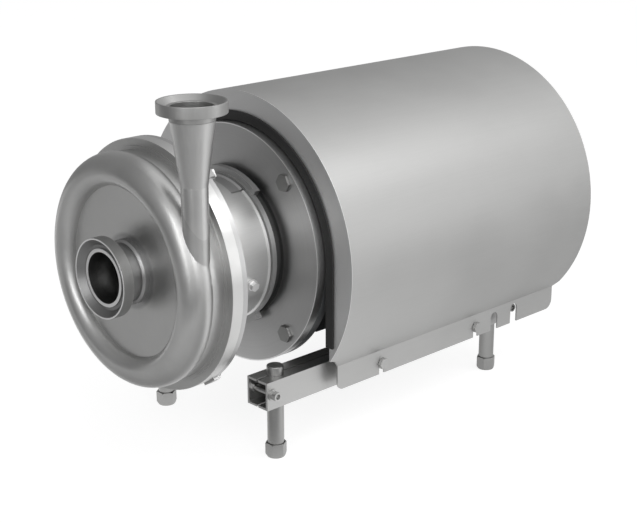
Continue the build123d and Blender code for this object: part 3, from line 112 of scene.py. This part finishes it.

# Rings of painted light on the inlet union: inner radius, outer radius, grey (painted shade in the recess
# and the bore, painted highlight on the liner end and the rim)
UNION_SHADE_AND_HIGHLIGHT_RINGS = (
    (LINER_R + LINE_FADE / 2, RECESS_R - LINE_FADE, 0.27),
    (0, BORE_R + LINE_FADE, 0.24),
    (BORE_R + LINE_FADE, LINER_R - LINE_FADE / 2, 0.85),
    (RECESS_R - LINE_FADE, COLLAR_R - LINE_FADE, 0.95),
)

# How far the rings left by turning drift in one radian, and the roughness of the casing's turned rim
RING_DRIFT = 0.0006
RIM_ROUGHNESS = 0.34

# Noise of the finishes: scale, detail, roughness
SHEET_GRAIN = (1.0, 3.0, 0.6)
SHEET_CLOUD = (9.0, 3.0, 0.55)
TURNED_CLOUD = (14.0, 3.0, 0.5)
BLAST_GRAIN = (2600.0, 2.0, 0.5)
BLAST_CLOUD = (16.0, 4.0, 0.55)

# Camera fitted to the photograph's circles and edges
CAMERA_PLACE = (-1.1620, -1.2190, 0.7334)
CAMERA_AZIMUTH = -43.65
CAMERA_ELEVATION = 18.10
CAMERA_ROLL = -0.17
CAMERA_LENS = 76.34
CAMERA_SENSOR = 36
CAMERA_SHIFT = (0.0053, 0.0008)
CAMERA_CLIP = (0.05, 50)

# Studio: a white backdrop behind the object, a dimmer room in front of the inlet.
# Each stop is a place along its direction and the brightness there.
FAR_SIDE = (-0.35, 0.93, 0.0)
BEHIND = (0.95, 0.30, 0.0)
UPWARD = (0, 0, 1)
WORLD_SIDE_STOPS = ((-1.0, 0.86), (-0.4, 0.84), (0.1, 0.66), (0.5, 0.38), (1.0, 0.26))
WORLD_HEIGHT_STOPS = ((-0.2, 1.0), (0.5, 0.95), (1.0, 0.80))
ROOM_LEVEL = 0.75
FLOOR_STOPS = ((-1.1, 0.05), (-0.80, 0.08), (-0.70, 0.30), (-0.61, 0.62), (-0.52, 0.36), (-0.42, 0.34),
               (-0.30, 0.20), (-0.15, 1.0), (0.05, 0.75), (0.25, 0.55), (0.65, 0.48), (1.0, 0.36))
FLOOR_GLOW = 0.86
FLOOR_GREY = 0.32
FLOOR_SIZE = 8

# Lamps: place, target, size, power
LAMPS = {
    "top_softbox": ((0.3, -0.5, 2.6), (0, 0, 0.2), (3.0, 2.4), 8),
    "key_softbox": ((-1.0, -2.3, 1.3), (-0.15, 0, 0.25), (1.2, 1.2), 9),
    "inlet_strip": ((-2.1, -0.95, 1.1), (-0.3, 0, 0.25), (0.6, 1.8), 8),
    "shroud_strip": ((0.85, -1.05, 1.45), (-0.1, -0.1, 0.3), (0.5, 0.8), 3.8),
    "rim_strip": ((0.94, -1.45, 0.45), (-0.25, -0.15, 0.24), (0.35, 0.9), 1.6),
}

# Widths of the broken edges, in metres
EDGE_WIDTHS = {
    "pump_casing": 0.0009, "inlet_union": 0.0007, "outlet_union": 0.0007, "adapter": 0.0013,
    "guard_right": 0.0004, "guard_left": 0.0004, "motor_front_shield": 0.0012, "shroud": 0.0007,
    "front_edging": 0.0018, "rear_edging": 0.0018, "terminal_box": 0.0012, "terminal_box_lid": 0.0008,
    "fan_cover": 0.0003, "outer_channel_right": 0.0010, "outer_channel_left": 0.0010,
    "inner_channel_right": 0.0010, "inner_channel_left": 0.0010, "guard_screws": 0.0007,
    "flange_bolts": 0.0016, "shroud_bolts": 0.0007, "clamp_screws": 0.0006, "casing_screws": 0.0008,
    "foot_bolts": 0.0008, "foot_front_right": 0.0005, "foot_front_left": 0.0005,
    "foot_rear_right": 0.0005, "foot_rear_left": 0.0005,
}
EDGE_ANGLE = 30
SMOOTH_ANGLE = 40
FLAT_ANGLE = 0.4
MERGE_DISTANCE = 0.000004


# Selection and modifiers
def choose(obj):
    """Only this object is selected and active."""
    bpy.ops.object.select_all(action="DESELECT")
    obj.select_set(True)
    bpy.context.view_layer.objects.active = obj


def apply_modifier(obj, kind, **settings):
    choose(obj)
    modifier = obj.modifiers.new(kind.title(), kind)
    for key, value in settings.items():
        setattr(modifier, key, value)
    bpy.ops.object.modifier_apply(modifier=modifier.name)


def settle(obj, name):
    """Puts a modelled piece's place into its mesh and names it."""
    choose(obj)
    bpy.ops.object.transform_apply(location=True, rotation=True, scale=True)
    obj.name = name
    obj.data.name = name
    return obj


def smooth(obj):
    choose(obj)
    bpy.ops.object.shade_smooth_by_angle(angle=math.radians(SMOOTH_ANGLE))


def paint(obj, material):
    obj.data.materials.clear()
    obj.data.materials.append(material)


# Shader nodes, for materials and for the world
def calculate(tree, operation, *values):
    """One Math node on numbers or sockets."""
    node = tree.nodes.new("ShaderNodeMath")
    node.operation = operation
    for socket, value in zip(node.inputs, values):
        if isinstance(value, (int, float)):
            socket.default_value = value
        else:
            tree.links.new(value, socket)
    return node.outputs["Value"]


def remap(tree, value, start, end, low=0, high=1):
    """Carries the span from start to end onto the span from low to high."""
    node = tree.nodes.new("ShaderNodeMapRange")
    node.inputs["From Min"].default_value = start
    node.inputs["From Max"].default_value = end
    node.inputs["To Min"].default_value = low
    node.inputs["To Max"].default_value = high
    tree.links.new(value, node.inputs["Value"])
    return node.outputs["Result"]


def along(tree, place, direction):
    """How far a place or a direction lies along another direction."""
    node = tree.nodes.new("ShaderNodeVectorMath")
    node.operation = "DOT_PRODUCT"
    node.inputs[1].default_value = direction
    tree.links.new(place, node.inputs[0])
    return node.outputs["Value"]


def level(tree, value, stops):
    """Brightness that follows a value through soft stops (value, brightness)."""
    low, high = stops[0][0], stops[-1][0]
    node = tree.nodes.new("ShaderNodeValToRGB")
    ramp = node.color_ramp
    ramp.interpolation = "EASE"
    while len(ramp.elements) < len(stops):
        ramp.elements.new(0.5)
    for element, (at, grey) in zip(ramp.elements, stops):
        element.position = (at - low) / (high - low)
        element.color = (grey, grey, grey, 1)
    tree.links.new(remap(tree, value, low, high), node.inputs["Fac"])
    return node.outputs["Color"]


class Finish:
    """A procedural material: its nodes read Object coordinates."""

    def __init__(self, name, color, metallic, roughness):
        self.material = bpy.data.materials.new(name)
        self.material.use_nodes = True
        self.tree = self.material.node_tree
        self.tree.nodes.clear()
        self.shader = self.add("ShaderNodeBsdfPrincipled")
        output = self.add("ShaderNodeOutputMaterial")
        self.join(self.shader.outputs["BSDF"], output.inputs["Surface"])
        self.shader.inputs["Metallic"].default_value = metallic
        self.shader.inputs["Base Color"].default_value = (*color, 1)
        self.shader.inputs["Roughness"].default_value = roughness
        self.color = color
        self.roughness = roughness
        self.place = self.add("ShaderNodeTexCoord").outputs["Object"]

    def add(self, kind):
        return self.tree.nodes.new(kind)

    def join(self, start, end):
        self.tree.links.new(start, end)

    def calculate(self, operation, *values):
        return calculate(self.tree, operation, *values)

    def mapped(self, scale=(1, 1, 1), location=(0, 0, 0)):
        node = self.add("ShaderNodeMapping")
        node.inputs["Scale"].default_value = scale
        node.inputs["Location"].default_value = location
        self.join(self.place, node.inputs["Vector"])
        return node.outputs["Vector"]

    def noise(self, source, scale, detail=2.0, rough=0.5):
        node = self.add("ShaderNodeTexNoise")
        node.inputs["Scale"].default_value = scale
        node.inputs["Detail"].default_value = detail
        node.inputs["Roughness"].default_value = rough
        self.join(source, node.inputs["Vector"])
        return node.outputs["Fac"]

    def spread(self, value, low, high, start=0.3, end=0.7):
        """Widens a noise's middle to the span from low to high."""
        return remap(self.tree, value, start, end, low, high)

    def blend(self, first, second, share=0.5):
        parts = [self.calculate("MULTIPLY", first, share), self.calculate("MULTIPLY", second, 1 - share)]
        return self.calculate("ADD", *parts)

    def split(self, vector):
        node = self.add("ShaderNodeSeparateXYZ")
        self.join(vector, node.inputs["Vector"])
        return node.outputs

    def turned_place(self, centre, axis):
        """Radius and station about an axis, for rings left by turning."""
        sides = self.split(self.mapped(location=[-c for c in centre]))
        across = [output for name, output in zip("XYZ", sides) if name != axis]
        squares = [self.calculate("MULTIPLY", value, value) for value in across]
        radius = self.calculate("SQRT", self.calculate("ADD", *squares))
        angle = self.calculate("ARCTAN2", *across)
        joined = self.add("ShaderNodeCombineXYZ")
        self.join(radius, joined.inputs["X"])
        self.join(sides["XYZ".index(axis)], joined.inputs["Y"])
        self.join(self.calculate("MULTIPLY", angle, RING_DRIFT), joined.inputs["Z"])
        return joined.outputs["Vector"]

    def band(self, value, low, high, soft=LINE_FADE):
        """One between two limits, with soft ends."""
        rises = self.spread(value, 0, 1, low - soft, low + soft)
        falls = self.spread(value, 1, 0, high - soft, high + soft)
        return self.calculate("MULTIPLY", rises, falls)

    def tint(self, value, change):
        """Lets the colour vary a little with a value."""
        mix = self.add("ShaderNodeMix")
        mix.data_type = "RGBA"
        darker = [c * (1 - change) for c in self.color]
        lighter = [min(1, c * (1 + change)) for c in self.color]
        mix.inputs["A"].default_value = (*darker, 1)
        mix.inputs["B"].default_value = (*lighter, 1)
        self.join(value, mix.inputs["Factor"])
        self.join(mix.outputs["Result"], self.shader.inputs["Base Color"])

    def cover(self, factor, grey):
        """Lays a grey over the colour where the factor is one."""
        mix = self.add("ShaderNodeMix")
        mix.data_type = "RGBA"
        mix.inputs["B"].default_value = (grey, grey, grey, 1)
        self.join(self.shader.inputs["Base Color"].links[0].from_socket, mix.inputs["A"])
        self.join(factor, mix.inputs["Factor"])
        self.join(mix.outputs["Result"], self.shader.inputs["Base Color"])

    def roughen(self, value, change):
        """Lets the roughness vary a little with a value."""
        spread = self.spread(value, self.roughness - change, self.roughness + change)
        self.join(spread, self.shader.inputs["Roughness"])

    def shift_roughness(self, factor, change):
        """Adds a change to the roughness where the factor is one."""
        before = self.shader.inputs["Roughness"].links[0].from_socket
        added = self.calculate("ADD", before, self.calculate("MULTIPLY", factor, change))
        self.join(added, self.shader.inputs["Roughness"])

    def raise_grain(self, value, strength, distance):
        bump = self.add("ShaderNodeBump")
        bump.inputs["Strength"].default_value = strength
        bump.inputs["Distance"].default_value = distance
        self.join(value, bump.inputs["Height"])
        self.join(bump.outputs["Normal"], self.shader.inputs["Normal"])


# Finishes
def steel(grey):
    """A neutral grey with a trace of warmth."""
    return grey, grey, grey - 0.005


def brushed_steel(name, color, roughness, stretch, strength=0.35):
    """Sheet steel with grain along one direction and faint clouds from handling."""
    finish = Finish(name, color, metallic=1.0, roughness=roughness)
    grain = finish.noise(finish.mapped(scale=stretch), *SHEET_GRAIN)
    blend = finish.blend(grain, finish.noise(finish.place, *SHEET_CLOUD), share=0.45)
    finish.tint(finish.spread(blend, 0, 1), change=0.06)
    finish.roughen(blend, change=0.06)
    finish.raise_grain(grain, strength, distance=0.00006)
    return finish


def shroud_steel(name, color, roughness, painted_plate_light):
    """Brushed sheet whose welded front plate is painted paler, as painted light on its shaded face."""
    finish = brushed_steel(name, color, roughness, stretch=(14, 1100, 1100))
    place_x = finish.split(finish.place)["X"]
    # Painted light: a paler grey on the front plate's shaded face
    finish.cover(finish.band(place_x, *FRONT_PLATE), painted_plate_light)
    return finish


def turned_steel(name, color, roughness, centre, axis, strength=0.4, rings=1400.0):
    """Turned steel with fine concentric rings round an axis."""
    finish = Finish(name, color, metallic=1.0, roughness=roughness)
    ring = finish.noise(finish.turned_place(centre, axis), scale=rings, detail=2.0, rough=0.6)
    blend = finish.blend(ring, finish.noise(finish.place, *TURNED_CLOUD))
    finish.tint(finish.spread(blend, 0, 1), change=0.07)
    finish.roughen(blend, change=0.05)
    finish.raise_grain(ring, strength, distance=0.00005)
    return finish


def union_steel(name, color, roughness):
    """Turned union with painted highlights on the rim and the liner end, and painted shade in the recess
    and the bore.
    """
    finish = turned_steel(name, color, roughness, SHAFT, "X", strength=0.25)
    radius = finish.split(finish.turned_place(SHAFT, "X"))["X"]
    # Painted shade in the recess and the bore, painted highlights on the liner end and the rim
    for low, high, grey in UNION_SHADE_AND_HIGHLIGHT_RINGS:
        finish.cover(finish.band(radius, low, high), grey)
    return finish


def adapter_steel(name, color, roughness):
    """Turned flange and lantern: painted shade in the groove behind the collar, a painted highlight on the
    disc edge.
    """
    finish = turned_steel(name, color, roughness, SHAFT, "X", strength=0.6, rings=900.0)
    place = finish.split(finish.turned_place(SHAFT, "X"))
    inside = finish.spread(place["X"], 1, 0, GROOVE_SHADE_R, GROOVE_SHADE_R + GROOVE_SHADE_FADE)
    behind = finish.spread(place["Y"], 0, 1, GROOVE_SHADE_X - LINE_FADE, GROOVE_SHADE_X + LINE_FADE)
    groove = finish.calculate("MULTIPLY", inside, behind)
    # Painted shade in the groove behind the collar, which is also made rougher
    finish.cover(groove, grey=0.15)
    # Painted highlight on the disc's outer edge
    finish.cover(finish.band(place["X"], *DISC_EDGE_HIGHLIGHT), grey=0.95)
    finish.shift_roughness(groove, change=0.25)
    return finish


def blasted_steel(name, color, roughness, strength=0.3):
    """Glass blasted or ground steel: a fine even grain with soft clouds."""
    finish = Finish(name, color, metallic=1.0, roughness=roughness)
    cloud = finish.noise(finish.place, *BLAST_CLOUD)
    finish.tint(finish.spread(cloud, 0, 1), change=0.06)
    finish.roughen(cloud, change=0.05)
    finish.raise_grain(finish.noise(finish.place, *BLAST_GRAIN), strength, distance=0.00008)
    return finish


def casing_steel(name, color, roughness):
    """Blasted casing: a rim turned bright on its outer face, a darker neck, and painted shade in the bore.
    """
    finish = Finish(name, color, metallic=1.0, roughness=roughness)
    cloud = finish.noise(finish.place, *BLAST_CLOUD)
    radius = finish.split(finish.turned_place(SHAFT, "X"))["X"]
    bright = finish.spread(radius, 0, 1, RIM_FACE_R, RIM_FACE_R + RIM_FADE)
    matt = finish.calculate("SUBTRACT", 1.0, bright)
    clouded = finish.calculate("MULTIPLY", finish.spread(cloud, low=0, high=0.55), matt)
    finish.tint(finish.calculate("ADD", clouded, bright), change=0.10)
    # Darker round the inlet neck
    finish.cover(finish.band(radius, 0, NECK_R, NECK_FADE), grey=0.40)
    # Painted shade inside the inlet bore
    finish.cover(finish.band(radius, 0, NECK_BORE_R), grey=0.24)
    finish.roughen(cloud, change=0.05)
    finish.shift_roughness(bright, change=RIM_ROUGHNESS - roughness)
    finish.raise_grain(finish.noise(finish.place, *BLAST_GRAIN), strength=0.3, distance=0.00008)
    return finish


def painted_iron(name, color, roughness):
    """Satin enamel on a casting: orange peel and a little dust."""
    finish = Finish(name, color, metallic=0.0, roughness=roughness)
    peel = finish.noise(finish.place, scale=700.0, detail=2.0, rough=0.5)
    dust = finish.noise(finish.place, scale=30.0, detail=5.0, rough=0.6)
    finish.tint(finish.spread(dust, 0, 1), change=0.16)
    finish.roughen(dust, change=0.08)
    finish.raise_grain(peel, strength=0.3, distance=0.0002)
    return finish


def moulded(name, color, roughness, scale, distance):
    """Rubber or plastic with a fine skin."""
    finish = Finish(name, color, metallic=0.0, roughness=roughness)
    skin = finish.noise(finish.place, scale, detail=3.0, rough=0.6)
    finish.tint(finish.spread(skin, 0, 1), change=0.15)
    finish.roughen(skin, change=0.08)
    finish.raise_grain(skin, strength=0.4, distance=distance)
    return finish


def varnished_copper(name, color, roughness):
    """Wound copper wire under varnish, laid round the shaft."""
    finish = Finish(name, color, metallic=0.7, roughness=roughness)
    turn = finish.noise(finish.turned_place(SHAFT, "X"), scale=500.0, detail=2.0, rough=0.5)
    finish.tint(finish.spread(turn, 0, 1), change=0.3)
    finish.raise_grain(turn, strength=0.8, distance=0.0006)
    return finish


def laminated_core(name, color, roughness):
    """Stacked core sheets with oxide on their edges."""
    finish = Finish(name, color, metallic=0.6, roughness=roughness)
    sheets = finish.noise(finish.mapped(scale=(1400, 4, 4)), scale=1.0, detail=1.0, rough=0.5)
    finish.tint(finish.spread(sheets, 0, 1), change=0.25)
    finish.raise_grain(sheets, strength=0.6, distance=0.0003)
    return finish


# Each finish: its function, colour, roughness and the function's other values
FINISHES = {
    "casing_steel": (casing_steel, steel(0.60), 0.36),
    "turned_steel": (union_steel, steel(0.50), 0.40),
    "outlet_steel": (brushed_steel, steel(0.64), 0.40, (420, 420, 9), 0.2),
    "collar_steel": (brushed_steel, steel(0.45), 0.42, (420, 420, 9), 0.2),
    "adapter_steel": (adapter_steel, (0.53, 0.53, 0.53), 0.36),
    "guard_steel": (brushed_steel, steel(0.68), 0.38, (40, 900, 900), 0.2),
    "shroud_steel": (shroud_steel, steel(0.50), 0.50, 0.72),
    "bar_steel": (brushed_steel, steel(0.52), 0.42, (16, 1000, 1000)),
    "leg_steel": (turned_steel, steel(0.38), 0.38, (0, 0, 0), "Z", 0.2),
    "screw_steel": (blasted_steel, steel(0.50), 0.34, 0.2),
    "aged_screw_steel": (blasted_steel, steel(0.34), 0.40, 0.3),
    "bright_screw_steel": (blasted_steel, steel(0.92), 0.42, 0.2),
    "shaft_steel": (turned_steel, steel(0.66), 0.24, SHAFT, "X"),
    "impeller_steel": (blasted_steel, steel(0.62), 0.28),
    "bearing_steel": (turned_steel, (0.75, 0.75, 0.76), 0.12, SHAFT, "X", 0.15),
    "motor_paint": (painted_iron, (0.12, 0.125, 0.13), 0.45),
    "core_steel": (laminated_core, (0.20, 0.19, 0.19), 0.5),
    "winding_copper": (varnished_copper, (0.45, 0.20, 0.09), 0.4),
    "fan_plastic": (moulded, (0.03, 0.03, 0.03), 0.5, 900.0, 0.0002),
    "gland_plastic": (moulded, (0.05, 0.05, 0.055), 0.5, 900.0, 0.0002),
    "black_rubber": (moulded, (0.02, 0.02, 0.02), 0.55, 1500.0, 0.0001),
    "seal_carbon": (moulded, (0.05, 0.05, 0.05), 0.35, 1200.0, 0.00005),
    "seal_ceramic": (moulded, (0.20, 0.21, 0.22), 0.3, 1200.0, 0.00005),
}
# Nodes that look other than their slot's finish
OWN_FINISHES = {
    "outlet_cone": "outlet_steel", "outlet_union": "collar_steel", "flange_bolts": "aged_screw_steel",
    "guard_screws": "bright_screw_steel", "impeller_nut": "aged_screw_steel",
}


# Finished copies of the CAD nodes, with their edges broken
def broken_edges(node, width, material):
    """A merged copy of a node whose sharp edges are rounded by a given width."""
    source = nodes[node]
    obj = source.copy()
    obj.data = source.data.copy()
    for key in [k for k in obj.keys() if k.startswith("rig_")]:
        del obj[key]
    obj.parent = None
    obj.name = node + "_finished"
    obj.data.name = obj.name
    bpy.context.scene.collection.objects.link(obj)
    choose(obj)
    bpy.ops.mesh.customdata_custom_splitnormals_clear()
    bm = bmesh.new()
    bm.from_mesh(obj.data)
    bmesh.ops.remove_doubles(bm, verts=bm.verts, dist=MERGE_DISTANCE)
    bmesh.ops.dissolve_limit(bm, angle_limit=math.radians(FLAT_ANGLE), verts=bm.verts, edges=bm.edges)
    bm.to_mesh(obj.data)
    bm.free()
    apply_modifier(obj, "BEVEL", width=width, segments=2, limit_method="ANGLE",
                   angle_limit=math.radians(EDGE_ANGLE), use_clamp_overlap=True, miter_outer="MITER_ARC")
    smooth(obj)
    apply_modifier(obj, "WEIGHTED_NORMAL", keep_sharp=True, weight=90)
    paint(obj, material)
    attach(obj, body_of(source)[0])
    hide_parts(node)


def dress_pump():
    """Paints every node and replaces the outer ones by copies with broken edges."""
    materials = {name: make(name, *values).material for name, (make, *values) in FINISHES.items()}
    slots = {row["node"]: row["material_slot"] for row in frame["record"]["subparts"]}
    looks = {name: materials[OWN_FINISHES.get(name, slots[name])] for name in nodes}
    for name, node in nodes.items():
        paint(node, looks[name])
    for name, width in EDGE_WIDTHS.items():
        broken_edges(name, width, looks[name])


# Studio
def make_camera():
    data = bpy.data.cameras.new("camera")
    camera = bpy.data.objects.new("camera", data)
    bpy.context.scene.collection.objects.link(camera)
    angles = (CAMERA_AZIMUTH, CAMERA_ELEVATION, CAMERA_ROLL)
    azimuth, elevation, roll = (math.radians(angle) for angle in angles)
    right = Vector((math.cos(azimuth), math.sin(azimuth), 0))
    outward = Vector((math.sin(azimuth), -math.cos(azimuth), 0))
    back = outward * math.cos(elevation) + Vector(UPWARD) * math.sin(elevation)
    up = back.cross(right)
    turned_right = right * math.cos(roll) + up * math.sin(roll)
    turned_up = up * math.cos(roll) - right * math.sin(roll)
    axes = Matrix((turned_right, turned_up, back)).transposed()
    camera.matrix_world = Matrix.Translation(CAMERA_PLACE) @ axes.to_4x4()
    data.sensor_width = CAMERA_SENSOR
    data.lens = CAMERA_LENS
    data.shift_x, data.shift_y = CAMERA_SHIFT
    data.clip_start, data.clip_end = CAMERA_CLIP
    bpy.context.scene.camera = camera


def reflected(tree):
    """One for camera rays, and one for the rays by which metal and glass show the backdrop."""
    rays = tree.nodes.new("ShaderNodeLightPath").outputs
    mirrored = calculate(tree, "MAXIMUM", rays["Is Glossy Ray"], rays["Is Transmission Ray"])
    return rays["Is Camera Ray"], mirrored


def make_world():
    """White where the camera looks. Metal shows that backdrop behind it and a dimmer room in front."""
    world = bpy.data.worlds.new("studio")
    bpy.context.scene.world = world
    world.use_nodes = True
    tree = world.node_tree
    tree.nodes.clear()
    place = tree.nodes.new("ShaderNodeTexCoord").outputs["Generated"]
    sideways = level(tree, along(tree, place, FAR_SIDE), WORLD_SIDE_STOPS)
    upward = level(tree, along(tree, place, UPWARD), WORLD_HEIGHT_STOPS)
    backdrop = calculate(tree, "MULTIPLY", sideways, upward)
    seen, mirrored = reflected(tree)
    dimmed = calculate(tree, "ADD", ROOM_LEVEL, calculate(tree, "MULTIPLY", mirrored, 1 - ROOM_LEVEL))
    strength = calculate(tree, "MAXIMUM", seen, calculate(tree, "MULTIPLY", backdrop, dimmed))
    light = tree.nodes.new("ShaderNodeBackground")
    light.inputs["Color"].default_value = (1, 1, 1, 1)
    tree.links.new(strength, light.inputs["Strength"])
    output = tree.nodes.new("ShaderNodeOutputWorld")
    tree.links.new(light.outputs["Background"], output.inputs["Surface"])


def make_floor():
    """Pale floor, white to the camera except in the object's own shadow, and white in metal behind it."""
    bpy.ops.mesh.primitive_plane_add(size=FLOOR_SIZE, location=(0, 0, 0))
    floor = settle(bpy.context.object, "floor")
    material = bpy.data.materials.new("pale_floor")
    material.use_nodes = True
    tree = material.node_tree
    tree.nodes.clear()
    matt = tree.nodes.new("ShaderNodeBsdfDiffuse")
    matt.inputs["Color"].default_value = (FLOOR_GREY, FLOOR_GREY, FLOOR_GREY, 1)
    place = tree.nodes.new("ShaderNodeTexCoord").outputs["Object"]
    behind = level(tree, along(tree, place, BEHIND), FLOOR_STOPS)
    seen, mirrored = reflected(tree)
    shown = calculate(tree, "MAXIMUM", seen, calculate(tree, "MULTIPLY", mirrored, behind))
    glow = tree.nodes.new("ShaderNodeEmission")
    tree.links.new(calculate(tree, "MULTIPLY", shown, FLOOR_GLOW), glow.inputs["Strength"])
    total = tree.nodes.new("ShaderNodeAddShader")
    tree.links.new(matt.outputs["BSDF"], total.inputs[0])
    tree.links.new(glow.outputs["Emission"], total.inputs[1])
    output = tree.nodes.new("ShaderNodeOutputMaterial")
    tree.links.new(total.outputs["Shader"], output.inputs["Surface"])
    paint(floor, material)


def make_lamps():
    for name, (place, target, size, power) in LAMPS.items():
        data = bpy.data.lights.new(name, "AREA")
        data.shape = "RECTANGLE"
        data.size, data.size_y = size
        data.energy = power
        lamp = bpy.data.objects.new(name, data)
        bpy.context.scene.collection.objects.link(lamp)
        lamp.location = place
        direction = Vector(target) - Vector(place)
        lamp.rotation_euler = direction.to_track_quat("-Z", "Y").to_euler()


dress_pump()
make_camera()
make_world()
make_floor()
make_lamps()
bpy.context.scene.view_settings.view_transform = "Standard"
